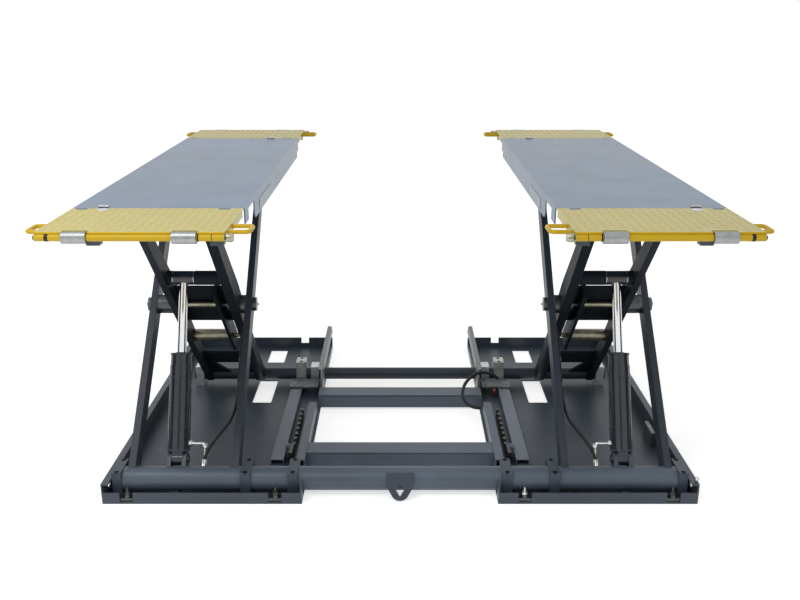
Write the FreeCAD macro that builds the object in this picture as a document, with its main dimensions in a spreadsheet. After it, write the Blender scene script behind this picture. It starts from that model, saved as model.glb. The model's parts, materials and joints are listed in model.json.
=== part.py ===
import FreeCAD, Part
import math
import os

import Sketcher
from FreeCAD import Placement, Rotation, Vector

# A twin scissor car lift, raised. The origin is on the floor, in the middle of the whole lift.
# +X is to the right, +Y to the back, +Z up. Pieces are drawn from the front face of the bases
# and centred() moves them back so that the middle of the decks is at Y = 0.
# Each row of the sheet is a size in millimetres or degrees, and a note on what it sizes.
SIZES = [
    ("liftHeight", 1000, "deck top above the floor, raised"),
    ("loweredHeight", 130, "deck top above the floor, lowered"),
    ("armLength", 1296, "pivot to pivot, legs and arms alike"),
    ("tubeAxisY", 82, "torque tube behind the front face of the bases"),
    ("tubeClear", 4, "torque tube above the floor of a base"),
    ("deckDrop", 21, "top pivots below the deck top"),
    ("runFit", 0.05, "radial clearance of a running fit"),
    ("gap", 0.3, "clearance between faces that pass each other"),
    ("overrun", 5, "how far a cutting shape runs past a face"),
    ("baseInner", 322, "inner edge of a base from the middle"),
    ("baseReach", 34, "outer edge of a base beyond the side of a deck"),
    ("baseLength", 1415, "length of a base"),
    ("baseSheet", 6, "floor of a base"),
    ("lipHeight", 40, "front lip of a base"),
    ("lipSheet", 5, "sheet of the lip, wall and flange"),
    ("wallHeight", 72, "outer wall of a base"),
    ("wallFlange", 24, "top flange of the outer wall"),
    ("wallHoleRadius", 17, "hole in the outer wall beside the torque tube"),
    ("wallHoleY", 72, "that hole behind the front face"),
    ("wallHoleZ", 40, "that hole above the floor"),
    ("tabLength", 36, "tab at the inner front corner of a base"),
    ("tabHeight", 68, "tab at the inner front corner of a base"),
    ("flangeHeight", 54, "rear flange of a base"),
    ("notchWidth", 44, "notch in a lip for a levelling screw"),
    ("notchInset", 58, "notch from the outer edge of the base"),
    ("innerNotchInset", 66, "notch from the inner edge of the base"),
    ("rearNotchWidth", 36, "notch in the rear flange"),
    ("rearNotchInset", 112, "rear notch from the inner edge of the base"),
    ("windowWidth", 78, "openings in the floor of a base"),
    ("windowInset", 208, "openings from the inner edge of the base"),
    ("frontWindowY", 780, "front end of the front opening"),
    ("frontWindowLength", 234, "length of the front opening"),
    ("rearWindowY", 1216, "front end of the rear opening"),
    ("rearWindowLength", 157, "length of the rear opening"),
    ("beamDepth", 80, "cross beams, front to back"),
    ("beamHeight", 50, "cross beams, height"),
    ("beamWall", 4, "wall of the cross beams"),
    ("beamLap", 9, "cross beams over the edge of a base"),
    ("beamStep", 8, "ledge along the front of a cross beam"),
    ("beamStepDrop", 5, "that ledge below the top of a beam"),
    ("frontBeamY", 250, "front face of the front beam"),
    ("rearBeamLead", 244, "rear beam ahead of the rear tube, raised"),
    ("tubeRadius", 40, "torque tube"),
    ("tubeWall", 6, "wall of the torque tube"),
    ("saddleWidth", 34, "middle and inner saddle blocks"),
    ("saddleBoltHeight", 6, "height of the bolt heads"),
    ("saddleFrontWall", 4, "saddle blocks ahead of the torque tube"),
    ("saddleBackWall", 18, "saddle blocks behind the torque tube"),
    ("saddleTopWall", 2, "saddle blocks above the torque tube"),
    ("saddleOuterInset", 41, "outer saddle block from the outer edge of a base"),
    ("saddleOuterWidth", 30, "outer saddle block"),
    ("saddleGap", 10, "middle saddle block from the inner leg"),
    ("saddleInnerInset", 33, "inner saddle block from the inner edge of a base"),
    ("saddleBoltHead", 9, "head radius of those bolts"),
    ("saddleBoltSink", 7, "depth of the bolt head pockets"),
    ("legThick", 24, "legs, across"),
    ("legHalfDepth", 30, "half depth of a leg"),
    ("legEndRadius", 16, "round top end of a leg"),
    ("legTaper", 320, "length of the taper at the top of a leg"),
    ("outerLegInset", 48, "outer legs from the outer side of a deck"),
    ("innerLegInset", 100, "inner legs from the inner side of a deck"),
    ("armThick", 24, "arms, across"),
    ("innerArmThick", 34, "inner arms, across"),
    ("armHalfDepth", 38, "half depth of an arm"),
    ("armEndRadius", 16, "round top end of an arm"),
    ("armKinkStart", 62, "where the front edge of an arm drops below its end"),
    ("armKinkLength", 60, "length of that drop"),
    ("armKinkDepth", 30, "front edge of an arm at the foot of that drop"),
    ("armTaper", 560, "length of the taper of the back edge"),
    ("armBackTaper", 900, "where the back edge has come in again, from the top pivot"),
    ("armTailHalf", 18, "back edge of an arm below that place"),
    ("outerArmInset", 127, "outer arms from the outer side of a deck"),
    ("innerArmInset", 149, "inner arms from the inner side of a deck"),
    ("armTailWall", 5, "wall of an arm round the rear tube"),
    ("pivotRadius", 20, "centre pivot pins"),
    ("pivotHeadRadius", 25, "heads and nuts of the centre pivots"),
    ("pivotHeadLength", 13, "heads and nuts of the centre pivots"),
    ("pivotBossRadius", 34, "spacer between a leg and an arm"),
    ("rearTubeRadius", 25, "rear cross tube"),
    ("rearTubeWall", 5, "wall of the rear cross tube"),
    ("rearTubeGap", 3, "end of the rear cross tube from the outer leg"),
    ("crossTubeRadius", 25, "tube between the arms above the cylinder"),
    ("rodPinAlong", 450, "rod pin from the top pivot of the arms"),
    ("footGap", 4, "cylinder foot from the torque tube"),
    ("cylinderInset", 193, "cylinders from the outer side of a deck"),
    ("barrelRadius", 37, "barrel of a cylinder"),
    ("barrelWall", 7, "wall of a barrel"),
    ("barrelEnd", 357, "top face of the gland from the foot pin"),
    ("barrelStart", 26, "bottom face of the barrel from the foot pin"),
    ("barrelBase", 20, "thickness of the closed end of a barrel"),
    ("glandLength", 40, "gland at the top of a barrel"),
    ("glandStep", 2, "gland within the barrel's outside"),
    ("rodRadius", 16, "piston rod"),
    ("pistonLength", 30, "piston"),
    ("pistonGap", 4, "piston below the gland, raised"),
    ("eyeRadius", 22, "rod eye and foot eye"),
    ("eyeHalfWidth", 18, "half width of the foot eye"),
    ("bossGap", 1, "cross tubes from the cross boss"),
    ("lugSheet", 14, "lugs beside the foot eye"),
    ("lugReach", 24, "lug radius about its pin"),
    ("eyeBore", 12, "bore of the eyes, radius"),
    ("boxPlateSheet", 6, "plate behind the arms"),
    ("boxPlateLead", 106, "that plate starts ahead of the centre pivot"),
    ("boxPlateLength", 268, "length of that plate along the arms"),
    ("boxPlateOffset", 14, "that plate behind the line of the arms"),
    ("centreShaftRadius", 11, "shaft between the centre pivots"),
    ("sidePlateX", 33, "side plate from the inner arm"),
    ("sidePlateSheet", 12, "side plate beside the inner arm"),
    ("sidePlateLead", 120, "side plate starts ahead of the centre pivot"),
    ("sidePlateLength", 445, "side plate along the arms"),
    ("armRollerRadius", 24, "roller between the lower arms"),
    ("armRollerLead", 262, "that roller from the centre pivot"),
    ("armRollerShaft", 9, "shaft of that roller"),
    ("tieSheet", 8, "tie plate between the lower arms"),
    ("tieLead", 226, "tie plate starts ahead of the rear tube"),
    ("tieLength", 100, "tie plate along the arms"),
    ("gussetReach", 80, "gussets on the rear tube, across"),
    ("gussetLength", 150, "gussets on the rear tube, along the arms"),
    ("deckInner", 451, "inner edge of a deck from the middle"),
    ("deckWidth", 492, "width of a deck"),
    ("deckLength", 1445, "length of a deck"),
    ("deckFront", 50, "deck ahead of the front face of the bases"),
    ("deckSheet", 4, "top sheet of a deck"),
    ("skirtSheet", 4, "skirts of a deck"),
    ("skirtDepth", 75, "skirts below the deck top"),
    ("skirtSetback", 22, "skirts from the front edge of a deck"),
    ("skirtTab", 52, "depth of the skirts ahead of the torque tube"),
    ("skirtCorner", 16, "cut corner of the skirts behind the torque tube"),
    ("skirtRelief", 18, "depth of the skirt above the torque tube"),
    ("rearReliefGap", 3, "back relief of the skirts round the rear tube, lowered"),
    ("reliefFront", 4, "relief ahead of the saddle blocks"),
    ("deckPinRadius", 8, "pins of the top pivots"),
    ("deckLugSheet", 10, "lugs of the top pivots"),
    ("deckRollerWidth", 20, "rollers at the top of the legs"),
    ("rampLength", 290, "ramp from the deck edge to its outer rod"),
    ("rampSheet", 5, "tread plate of a ramp"),
    ("rampGap", 2, "ramp from the deck edge"),
    ("rampFlange", 22, "side flanges of a ramp"),
    ("rampHingeDrop", 14, "ramp hinge below the deck top"),
    ("rampHingeReach", 10, "ramp hinge ahead of the deck edge"),
    ("hingePinRadius", 5, "ramp hinge pins"),
    ("knuckleRadius", 9, "ramp hinge knuckles"),
    ("knuckleWidth", 30, "ramp hinge knuckles"),
    ("innerKnuckleInset", 51, "inner ramp knuckle from the side of a deck"),
    ("outerKnuckleInset", 30, "outer ramp knuckle from the side of a deck"),
    ("knuckleFoot", 27, "foot of a ramp's own knuckles"),
    ("notchGap", 1.2, "clearance of the notches round knuckles and rollers"),
    ("rampRodDrop", 15, "outer rod below the deck top"),
    ("rampRodRadius", 7, "outer rod of a ramp"),
    ("sleeveRadius", 9.7, "sleeves on that rod"),
    ("rampRollerRadius", 16, "rollers of a ramp"),
    ("rampRollerLength", 64, "rollers of a ramp"),
    ("outerBlockInset", 143, "outer stop block from the side of a ramp"),
    ("innerBlockInset", 25, "inner stop block from the side of a ramp"),
    ("outerRollerInset", 103, "outer roller from the side of a ramp"),
    ("innerRollerInset", 105, "inner roller from the side of a ramp"),
    ("handleRadius", 6, "handle bars of a ramp"),
    ("outerHandleReach", 38, "outer handles beyond the side of a ramp"),
    ("innerHandleReach", 56, "inner handles beyond the side of a ramp"),
    ("handleLength", 66, "handles, front to back"),
    ("handleSetback", 46, "front bar of a handle behind the outer rod"),
    ("handleBend", 12, "bends of the handles"),
    ("blockWidth", 36, "stop blocks under a ramp"),
    ("blockDepth", 26, "stop blocks under a ramp"),
    ("blockHeight", 36, "stop blocks under a ramp"),
    ("railWidth", 30, "channel rail on a base"),
    ("railHeight", 54, "channel rail on a base"),
    ("railStart", 190, "front end of the channel rail"),
    ("railGap", 74, "channel rail from the rear beam"),
    ("rackWidth", 10, "lock rack on a base"),
    ("rackInset", 64, "lock rack from the inner edge of a base"),
    ("rackHeight", 34, "lock rack on a base"),
    ("rackStart", 262, "front end of the rack"),
    ("rackGap", 14, "rack ends before the channel rail does"),
    ("rackTeeth", 9, "teeth of the rack"),
    ("toothDepth", 10, "teeth of the rack"),
    ("guideSheet", 6, "guide angle at the back of a base"),
    ("guideFlange", 12, "top flange of the guide angle"),
    ("guideHeight", 122, "top of the guide angle above the floor"),
    ("guideLead", 160, "guide angle starts ahead of the rear tube, raised"),
    ("guideBack", 17, "foot of the guide angle from the back of a base"),
    ("guideTip", 25, "tip of the guide angle beyond the back of a base"),
    ("guideSlotGap", 3, "slot of the guide angle below the rear tube"),
    ("guideCorner", 30, "cut corners of the guide angle"),
    ("guideTaper", 55, "taper towards its tip"),
    ("lockBarWidth", 46, "lock bar"),
    ("lockBarInset", 111, "lock bar from the inner edge of a base"),
    ("lockBarHeight", 26, "lock bar"),
    ("lockBarWall", 3, "wall of the lock bar"),
    ("lockBarLead", 154, "front end of the lock bar behind the torque tube, raised"),
    ("lockBarLift", 4, "lock bar above the floor of the base"),
    ("carriageWidth", 42, "lock block on the rear tube"),
    ("carriageInset", 100, "lock block from the inner edge of a base"),
    ("carriageWall", 5, "lock block ahead of the rear tube and behind it"),
    ("carriageRise", 37, "lock block above the rear tube"),
    ("slideWidth", 34, "slide blocks on the rear tube"),
    ("slideInset", 42, "inner slide block from the inner edge of a base"),
    ("slideWall", 4, "slide blocks ahead of the rear tube and behind it"),
    ("slideRise", 15, "slide blocks above the rear tube"),
    ("slideGap", 10, "outer slide block from the outer leg"),
    ("yokeWidth", 118, "yoke plate of the lock"),
    ("yokeDepth", 88, "yoke plate of the lock"),
    ("yokeSheet", 8, "yoke plate of the lock"),
    ("yokeHole", 5, "holes of the yoke plate, radius"),
    ("yokeHoleInset", 15, "holes of the yoke plate from its edges"),
    ("yokeInset", 80, "middle of the yoke plate from the inner edge of a base"),
    ("yokeStrap", 12, "strap from the yoke plate to the lock block"),
    ("pawlLength", 70, "lock pawl"),
    ("pawlWidth", 12, "lock pawl"),
    ("pawlHeight", 22, "lock pawl"),
    ("pawlLift", 0.5, "pawl above the teeth of the rack"),
    ("pawlPinRadius", 5, "pin of the lock pawl"),
    ("screwRadius", 8, "levelling screws"),
    ("screwHeadRadius", 12, "heads of the levelling screws"),
    ("screwHeadHeight", 10, "heads of the levelling screws"),
    ("screwLugSheet", 12, "lugs of the levelling screws"),
    ("blankWidth", 100, "box on the right base, front to back"),
    ("blankDepth", 60, "box on the right base, height"),
    ("blankSheet", 16, "box on the right base, across"),
    ("blankInset", 13, "middle of the box on the right base from the side of a deck"),
    ("blankY", 385, "front edge of that box"),
    ("lugWidth", 88, "towing lug"),
    ("lugLean", 20, "lean of the towing lug, degrees"),
    ("lugTop", 26, "top edge of the towing lug from the line where it meets the tube"),
    ("lugSide", 22, "straight sides of the towing lug below that line"),
    ("lugRoundDrop", 36, "centre of its round end below that line"),
    ("lugRound", 31, "round end of the towing lug"),
    ("lugHoleDrop", 30, "hole of the towing lug below that line"),
    ("lugPoint", 54, "point of that hole below that line"),
    ("lugPlate", 10, "towing lug"),
    ("lugHole", 13, "hole of the towing lug, radius"),
    ("stopTabWidth", 26, "tab under the torque tube"),
    ("stopTabDepth", 12, "tab under the torque tube"),
    ("hoseRadius", 5, "hydraulic hoses"),
    ("hoseInset", 88, "foot of a hose from the cylinder"),
    ("fittingRadius", 9, "fittings at a cylinder's foot"),
    ("fittingLength", 30, "fittings at a cylinder's foot"),
]

doc = FreeCAD.newDocument("ScissorLift")
sheet = doc.addObject("Spreadsheet::Sheet", "sizes")


class Size:
    """A number and the sheet expression that gives it, kept together through a sum."""

    def __init__(self, value, text):
        self.value = float(value)
        self.text = text

    def __add__(self, other):
        return Size(self.value + number(other), "(%s + %s)" % (self.text, words(other)))

    def __radd__(self, other):
        return Size(number(other) + self.value, "(%s + %s)" % (words(other), self.text))

    def __sub__(self, other):
        return Size(self.value - number(other), "(%s - %s)" % (self.text, words(other)))

    def __rsub__(self, other):
        return Size(number(other) - self.value, "(%s - %s)" % (words(other), self.text))

    def __mul__(self, other):
        return Size(self.value * number(other), "(%s * %s)" % (self.text, words(other)))

    __rmul__ = __mul__

    def __truediv__(self, other):
        return Size(self.value / number(other), "(%s / %s)" % (self.text, words(other)))

    def __neg__(self):
        return Size(-self.value, "(-1 * %s)" % self.text)


def number(item):
    return item.value if isinstance(item, Size) else float(item)


def words(item):
    return item.text if isinstance(item, Size) else repr(float(item))


def fill_sheet():
    """Write the sizes into the sheet and give them back by name."""
    for row, (name, value, note) in enumerate(SIZES, 1):
        sheet.set("A%d" % row, note)
        sheet.set("B%d" % row, str(value))
        sheet.setAlias("B%d" % row, name)
    doc.recompute()
    return {name: Size(sheet.get(name), "sizes." + name) for name, value, note in SIZES}


class Named:
    """The sizes, read as attributes."""

    def __init__(self, table):
        self.__dict__.update(table)


s = Named(fill_sheet())

# Sizes that follow from others.
s.tubeAxisZ = s.baseSheet + s.tubeRadius + s.tubeClear
s.deckOuter = s.deckInner + s.deckWidth
s.baseWidth = s.deckOuter + s.baseReach - s.baseInner
s.saddleFront = s.tubeRadius + s.saddleFrontWall
s.saddleBack = s.tubeRadius + s.saddleBackWall
s.saddleHeight = s.tubeAxisZ + s.tubeRadius + s.saddleTopWall
s.outerLegX = s.deckOuter - s.outerLegInset
s.innerLegX = s.deckInner + s.innerLegInset
s.outerArmX = s.deckOuter - s.outerArmInset
s.innerArmX = s.deckInner + s.innerArmInset
s.saddleOuterX = s.baseInner + s.baseWidth - s.saddleOuterInset
s.saddleMiddleX = s.innerLegX - s.legThick / 2 - s.saddleGap - s.saddleWidth / 2
s.saddleInnerX = s.baseInner + s.saddleInnerInset
s.tubeHalfLength = s.saddleOuterX + s.saddleOuterWidth / 2
s.rearTubeHalfLength = s.outerLegX - s.legThick / 2 - s.rearTubeGap
s.armTailRadius = s.rearTubeRadius + s.armTailWall
s.cylinderX = s.deckOuter - s.cylinderInset
s.footOffset = s.tubeRadius + s.eyeRadius + s.footGap
s.glandRadius = s.barrelRadius - s.glandStep
s.barrelBore = s.barrelRadius - s.barrelWall
s.boxPlateStart = s.armLength / 2 - s.boxPlateLead
s.armRollerAlong = s.armLength / 2 + s.armRollerLead
s.tieStart = s.armLength - s.tieLead
s.innerRollerX = s.deckInner + s.innerRollerInset
s.outerRollerX = s.deckOuter - s.outerRollerInset
s.innerBlockX = s.deckInner + s.innerBlockInset
s.outerBlockX = s.deckOuter - s.outerBlockInset
s.railX = s.baseInner + s.beamLap + s.railWidth / 2
s.rackX = s.baseInner + s.rackInset
s.lockBarX = s.baseInner + s.lockBarInset
s.carriageX = s.baseInner + s.carriageInset
s.carriageDepth = 2 * (s.rearTubeRadius + s.carriageWall)
s.carriageHeight = s.tubeAxisZ + s.rearTubeRadius + s.carriageRise
s.slideX = s.baseInner + s.slideInset
s.slideDepth = 2 * (s.rearTubeRadius + s.slideWall)
s.slideHeight = s.tubeAxisZ + s.rearTubeRadius + s.slideRise
s.outerSlideX = s.outerLegX - s.legThick / 2 - s.slideGap - s.slideWidth / 2
s.yokeX = s.baseInner + s.yokeInset
s.hoseX = s.cylinderX - s.hoseInset

# Places that follow from the linkage: the legs and arms are equal and cross at their middles.
raisedAngle = math.asin((s.liftHeight - s.deckDrop - s.tubeAxisZ).value / s.armLength.value)
loweredAngle = math.asin((s.loweredHeight - s.deckDrop - s.tubeAxisZ).value / s.armLength.value)
topPivotZ = s.liftHeight - s.deckDrop
span = s.armLength.value * math.cos(raisedAngle)
rearPivotY = s.tubeAxisY.value + span
loweredPivotY = s.tubeAxisY.value + s.armLength.value * math.cos(loweredAngle)
footY = s.tubeAxisY.value + s.footOffset.value * math.cos(raisedAngle)
footZ = s.tubeAxisZ.value + s.footOffset.value * math.sin(raisedAngle)
rodPinY = s.tubeAxisY.value + s.rodPinAlong.value * math.cos(raisedAngle)
rodPinZ = topPivotZ.value - s.rodPinAlong.value * math.sin(raisedAngle)
cylinderAngle = math.atan2(rodPinZ - footZ, rodPinY - footY)
cylinderLength = math.hypot(rodPinY - footY, rodPinZ - footZ)


s.yokeY = rearPivotY - s.carriageDepth / 2 - s.yokeStrap - s.yokeDepth
s.lockBarStart = s.tubeAxisY + s.lockBarLead
s.guideStart = rearPivotY - s.guideLead
s.guideEnd = s.baseLength - s.guideBack
s.rearBeamY = rearPivotY - s.rearBeamLead
s.railLength = s.rearBeamY - s.railGap - s.railStart
s.rackLength = s.railStart + s.railLength - s.rackGap - s.rackStart


def tilt(y, z, angle):
    """A frame whose Y runs at the angle above the horizontal, from the point (0, y, z)."""
    return Placement(Vector(0, y, z), Rotation(Vector(1, 0, 0), math.degrees(angle)))


# Shares of the deck's width where its own hinge knuckles and those of a ramp stand.
deckKnuckleShares = (0.0, 1.0)
rampKnuckleShares = (0.12, 0.38, 0.62, 0.88)
# Half depth of a barrel's neck, as a share of its eye's radius.
neckShare = 0.9
# Where a hose leaves the foot lug, as shares of the lug's distance and a leg's half depth.
hoseFootShare = 0.9
hoseDepthShare = 0.1

legFrame = tilt(s.tubeAxisY.value, s.tubeAxisZ.value, raisedAngle)
armFrame = tilt(s.tubeAxisY.value, topPivotZ.value, -raisedAngle)
cylinderFrame = tilt(footY, footZ, cylinderAngle)
rearFrame = Placement(Vector(0, rearPivotY, 0), Rotation())


def bind(item, prop, size):
    if isinstance(size, Size):
        item.setExpression(prop, size.text)
    else:
        item.setExpression(prop, repr(float(size)))


def seat(item, corner):
    for axis, size in zip("xyz", corner):
        bind(item, "Placement.Base." + axis, size)


def box(size, corner):
    """A block from its size and its lowest corner."""
    item = doc.addObject("Part::Box", "Block")
    for prop, length in zip(("Length", "Width", "Height"), size):
        bind(item, prop, length)
    seat(item, corner)
    return item


def bar(axis, radius, length, start):
    """A round bar from its start, along X, Y or Z."""
    item = doc.addObject("Part::Cylinder", "Bar")
    bind(item, "Radius", radius)
    bind(item, "Height", length)
    turns = {"x": Rotation(Vector(0, 1, 0), 90), "y": Rotation(Vector(1, 0, 0), -90), "z": Rotation()}
    item.Placement = Placement(Vector(), turns[axis])
    seat(item, start)
    return item


def across(radius, length, middle):
    """A round bar along X, given by its middle."""
    x, y, z = middle
    return bar("x", radius, length, (x - length / 2, y, z))


def slab(thick, length, height, middleX, y, z):
    """A block centred on X, with its lowest Y and Z given."""
    return box((thick, length, height), (middleX - thick / 2, y, z))


def fuse(*items):
    item = doc.addObject("Part::MultiFuse", "Joined")
    item.Shapes = list(items)
    return item


def cut(base, *tools):
    tool = tools[0] if len(tools) == 1 else group(*tools)
    item = doc.addObject("Part::Cut", "Cut")
    item.Base = base
    item.Tool = tool
    return item


def group(*items):
    item = doc.addObject("Part::Compound", "Group")
    item.Links = list(items)
    return item


def mirror(item):
    """The same piece on the left lift."""
    copy = doc.addObject("Part::Mirroring", "Mirrored")
    copy.Source = item
    copy.Normal = Vector(1, 0, 0)
    return copy


def flip(item):
    """The same piece at the back end of a deck."""
    copy = doc.addObject("Part::Mirroring", "Flipped")
    copy.Source = item
    copy.Normal = Vector(0, 1, 0)
    bind(copy, "Base.y", s.deckLength / 2 - s.deckFront)
    return copy


def both(item):
    return group(item, mirror(item))


def plate(outline, holes, thick, middleX):
    """A plate in the YZ plane: an outline of corners, round holes, and a thickness centred on middleX."""
    body = doc.addObject("PartDesign::Body", "Plate")
    sketch = body.newObject("Sketcher::SketchObject", "Outline")
    plane = [part for part in body.Origin.OriginFeatures if part.Role == "YZ_Plane"][0]
    sketch.AttachmentSupport = [(plane, "")]
    sketch.MapMode = "FlatFace"
    corners = [Vector(number(y), number(z), 0) for y, z in outline]
    count = len(corners)
    for place in range(count):
        sketch.addGeometry(Part.LineSegment(corners[place], corners[(place + 1) % count]), False)
    for place in range(count):
        link = Sketcher.Constraint("Coincident", place, 2, (place + 1) % count, 1)
        sketch.addConstraint(link)
    for place, (y, z) in enumerate(outline):
        pin_point(sketch, place, 1, y, z)
    for y, z, radius in holes:
        circle = Part.Circle(Vector(number(y), number(z), 0), Vector(0, 0, 1), number(radius))
        place = sketch.addGeometry(circle, False)
        limit = sketch.addConstraint(Sketcher.Constraint("Radius", place, number(radius)))
        bind(sketch, "Constraints[%d]" % limit, radius)
        pin_point(sketch, place, 3, y, z)
    pad = body.newObject("PartDesign::Pad", "Pad")
    pad.Profile = sketch
    pad.Midplane = True
    bind(pad, "Length", thick)
    body.Tip = pad
    bind(body, "Placement.Base.x", middleX)
    return body


def pin_point(sketch, place, end, y, z):
    """Hold one point of a sketch at its two bound sizes."""
    for kind, size in (("DistanceX", y), ("DistanceY", z)):
        limit = sketch.addConstraint(Sketcher.Constraint(kind, -1, 1, place, end, number(size)))
        bind(sketch, "Constraints[%d]" % limit, size)


nodes = {}


def named(name, item):
    item.Label = name
    nodes[name] = item


def centred(item):
    """The same piece, moved so that the middle of the decks is at Y = 0."""
    moved = group(item)
    bind(moved, "Placement.Base.y", s.deckFront - s.deckLength / 2)
    return moved


def keep(name, item):
    """Give a finished sub-part its name and its place."""
    named(name, centred(item))


def keep_pair(name, item, frame=None):
    """One piece on each lift, as two sub-parts."""
    if frame is not None:
        item = in_frame(item, frame)
    right = centred(item)
    named(name + "_right", right)
    named(name + "_left", mirror(right))


def in_frame(item, frame):
    """The same piece, stood in a tilted frame."""
    moved = group(item)
    moved.Placement = frame
    return moved


# Bases

def base_pan():
    """A folded sheet tray: floor, front lip, outer wall and rear flange, with notches and openings."""
    floor = box((s.baseWidth, s.baseLength, s.baseSheet), (s.baseInner, 0, 0))
    lip = box((s.baseWidth, s.lipSheet, s.lipHeight), (s.baseInner, 0, 0))
    wallX = s.baseInner + s.baseWidth - s.lipSheet
    wall = box((s.lipSheet, s.baseLength, s.wallHeight), (wallX, 0, 0))
    rim = box((s.wallFlange, s.baseLength, s.lipSheet),
              (wallX + s.lipSheet - s.wallFlange, 0, s.wallHeight - s.lipSheet))
    tab = box((s.lipSheet, s.tabLength, s.tabHeight), (s.baseInner, 0, 0))
    flangeY = s.baseLength - s.lipSheet
    flange = box((s.baseWidth, s.lipSheet, s.flangeHeight), (s.baseInner, flangeY, 0))
    holeStart = (wallX - s.overrun, s.wallHoleY, s.wallHoleZ)
    tools = [bar("x", s.wallHoleRadius, s.lipSheet + 2 * s.overrun, holeStart)]
    outerNotchX = s.baseInner + s.baseWidth - s.notchInset - s.notchWidth
    innerNotchX = s.baseInner + s.innerNotchInset
    notchDepth = s.lipSheet + 2 * s.overrun
    for x in (outerNotchX, innerNotchX):
        tools.append(box((s.notchWidth, notchDepth, s.lipHeight), (x, -s.overrun, s.baseSheet)))
    rearNotchX = s.baseInner + s.rearNotchInset
    rearNotch = (s.rearNotchWidth, s.lipSheet + s.overrun, s.flangeHeight)
    tools.append(box(rearNotch, (rearNotchX, flangeY, s.flangeHeight / 2)))
    for y, length in ((s.frontWindowY, s.frontWindowLength), (s.rearWindowY, s.rearWindowLength)):
        size = (s.windowWidth, length, s.baseSheet + 2 * s.overrun)
        tools.append(box(size, (s.baseInner + s.windowInset, y, -s.overrun)))
    return cut(fuse(floor, lip, wall, rim, tab, flange), *tools)


def cross_beam(y):
    """A box beam between the two bases with a low ledge along its front."""
    half = s.baseInner + s.beamLap
    low = s.baseSheet
    outer = box((2 * half, s.beamDepth, s.beamHeight), (-half, y, low))
    size = (2 * half + 2 * s.overrun, s.beamDepth - 2 * s.beamWall, s.beamHeight - 2 * s.beamWall)
    inner = box(size, (-half - s.overrun, y + s.beamWall, low + s.beamWall))
    ledge = box((2 * half, s.beamStep, s.beamHeight - s.beamStepDrop), (-half, y - s.beamStep, low))
    return fuse(cut(outer, inner), ledge)


def saddle_places():
    return (s.saddleOuterX, s.saddleMiddleX, s.saddleInnerX)


def saddle_bolt_rows():
    """Bolts stand at the front and back ends of a block."""
    front = s.tubeAxisY - s.saddleFront + s.saddleBoltHead
    back = s.tubeAxisY + s.saddleBack - s.saddleBoltHead
    return (front, back)


def saddle_width(x):
    return s.saddleOuterWidth if x is s.saddleOuterX else s.saddleWidth


def saddle_block(x):
    """A block bored for the torque tube, with two pockets for bolts in its top."""
    width = saddle_width(x)
    length = s.saddleFront + s.saddleBack
    y = s.tubeAxisY - s.saddleFront
    block = slab(width, length, s.saddleHeight - s.baseSheet, x, y, s.baseSheet)
    reach = width + 2 * s.overrun
    tools = [across(s.tubeRadius + s.runFit, reach, (x, s.tubeAxisY, s.tubeAxisZ))]
    for y in saddle_bolt_rows():
        low = s.saddleHeight - s.saddleBoltSink
        tools.append(bar("z", s.saddleBoltHead, s.saddleBoltSink + s.overrun, (x, y, low)))
    return cut(block, *tools)


def saddle_bolts(x):
    """Two bolt heads sunk in a block's top."""
    low = s.saddleHeight - s.saddleBoltSink
    radius = s.saddleBoltHead - s.gap
    return [bar("z", radius, s.saddleBoltHeight, (x, y, low)) for y in saddle_bolt_rows()]


def channel_rail():
    """A box rail along the inner edge of a base."""
    z = s.baseSheet
    outer = slab(s.railWidth, s.railLength, s.railHeight, s.railX, s.railStart, z)
    hollow = s.railWidth - 2 * s.lipSheet
    length = s.railLength + 2 * s.overrun
    top = z + s.lipSheet
    inner = slab(hollow, length, s.railHeight - 2 * s.lipSheet, s.railX, s.railStart - s.overrun, top)
    return cut(outer, inner)


def lock_rack():
    """A toothed bar that the pawl drops into."""
    pitch = s.rackLength / (2 * s.rackTeeth + 1)
    bottom = s.baseSheet
    top = bottom + s.rackHeight
    outline = [(s.rackStart, bottom), (s.rackStart + s.rackLength, bottom), (s.rackStart + s.rackLength, top)]
    for tooth in range(int(s.rackTeeth.value), 0, -1):
        back = s.rackStart + 2 * tooth * pitch
        outline.append((back, top))
        outline.append((back, top - s.toothDepth))
        outline.append((back - pitch, top - s.toothDepth))
        outline.append((back - pitch, top))
    outline.append((s.rackStart, top))
    return plate(outline, [], s.rackWidth, s.rackX)


def guide_angle():
    """An upright blade at the back of the inner edge, slotted for the rear tube and pointed behind."""
    slotStart = rearPivotY - s.rearTubeRadius - s.overrun
    slotLow = s.tubeAxisZ - s.rearTubeRadius - s.guideSlotGap
    slotHigh = s.tubeAxisZ + s.rearTubeRadius + s.gap
    tip = s.baseLength + s.guideTip
    outline = [
        (s.guideStart, s.baseSheet),
        (s.guideEnd, s.baseSheet),
        (s.guideEnd, slotLow),
        (slotStart, slotLow),
        (slotStart, slotHigh),
        (tip, slotHigh),
        (tip - s.guideTaper, s.guideHeight),
        (s.guideStart + s.guideCorner, s.guideHeight),
        (s.guideStart, s.guideHeight - s.guideCorner),
    ]
    web = plate(outline, [], s.guideSheet, s.baseInner + s.guideSheet / 2)
    length = tip - s.guideTaper - s.guideStart - s.guideCorner
    corner = (s.baseInner + s.guideSheet, s.guideStart + s.guideCorner, s.guideHeight - s.guideSheet)
    return fuse(web, box((s.guideFlange, length, s.guideSheet), corner))


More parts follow.
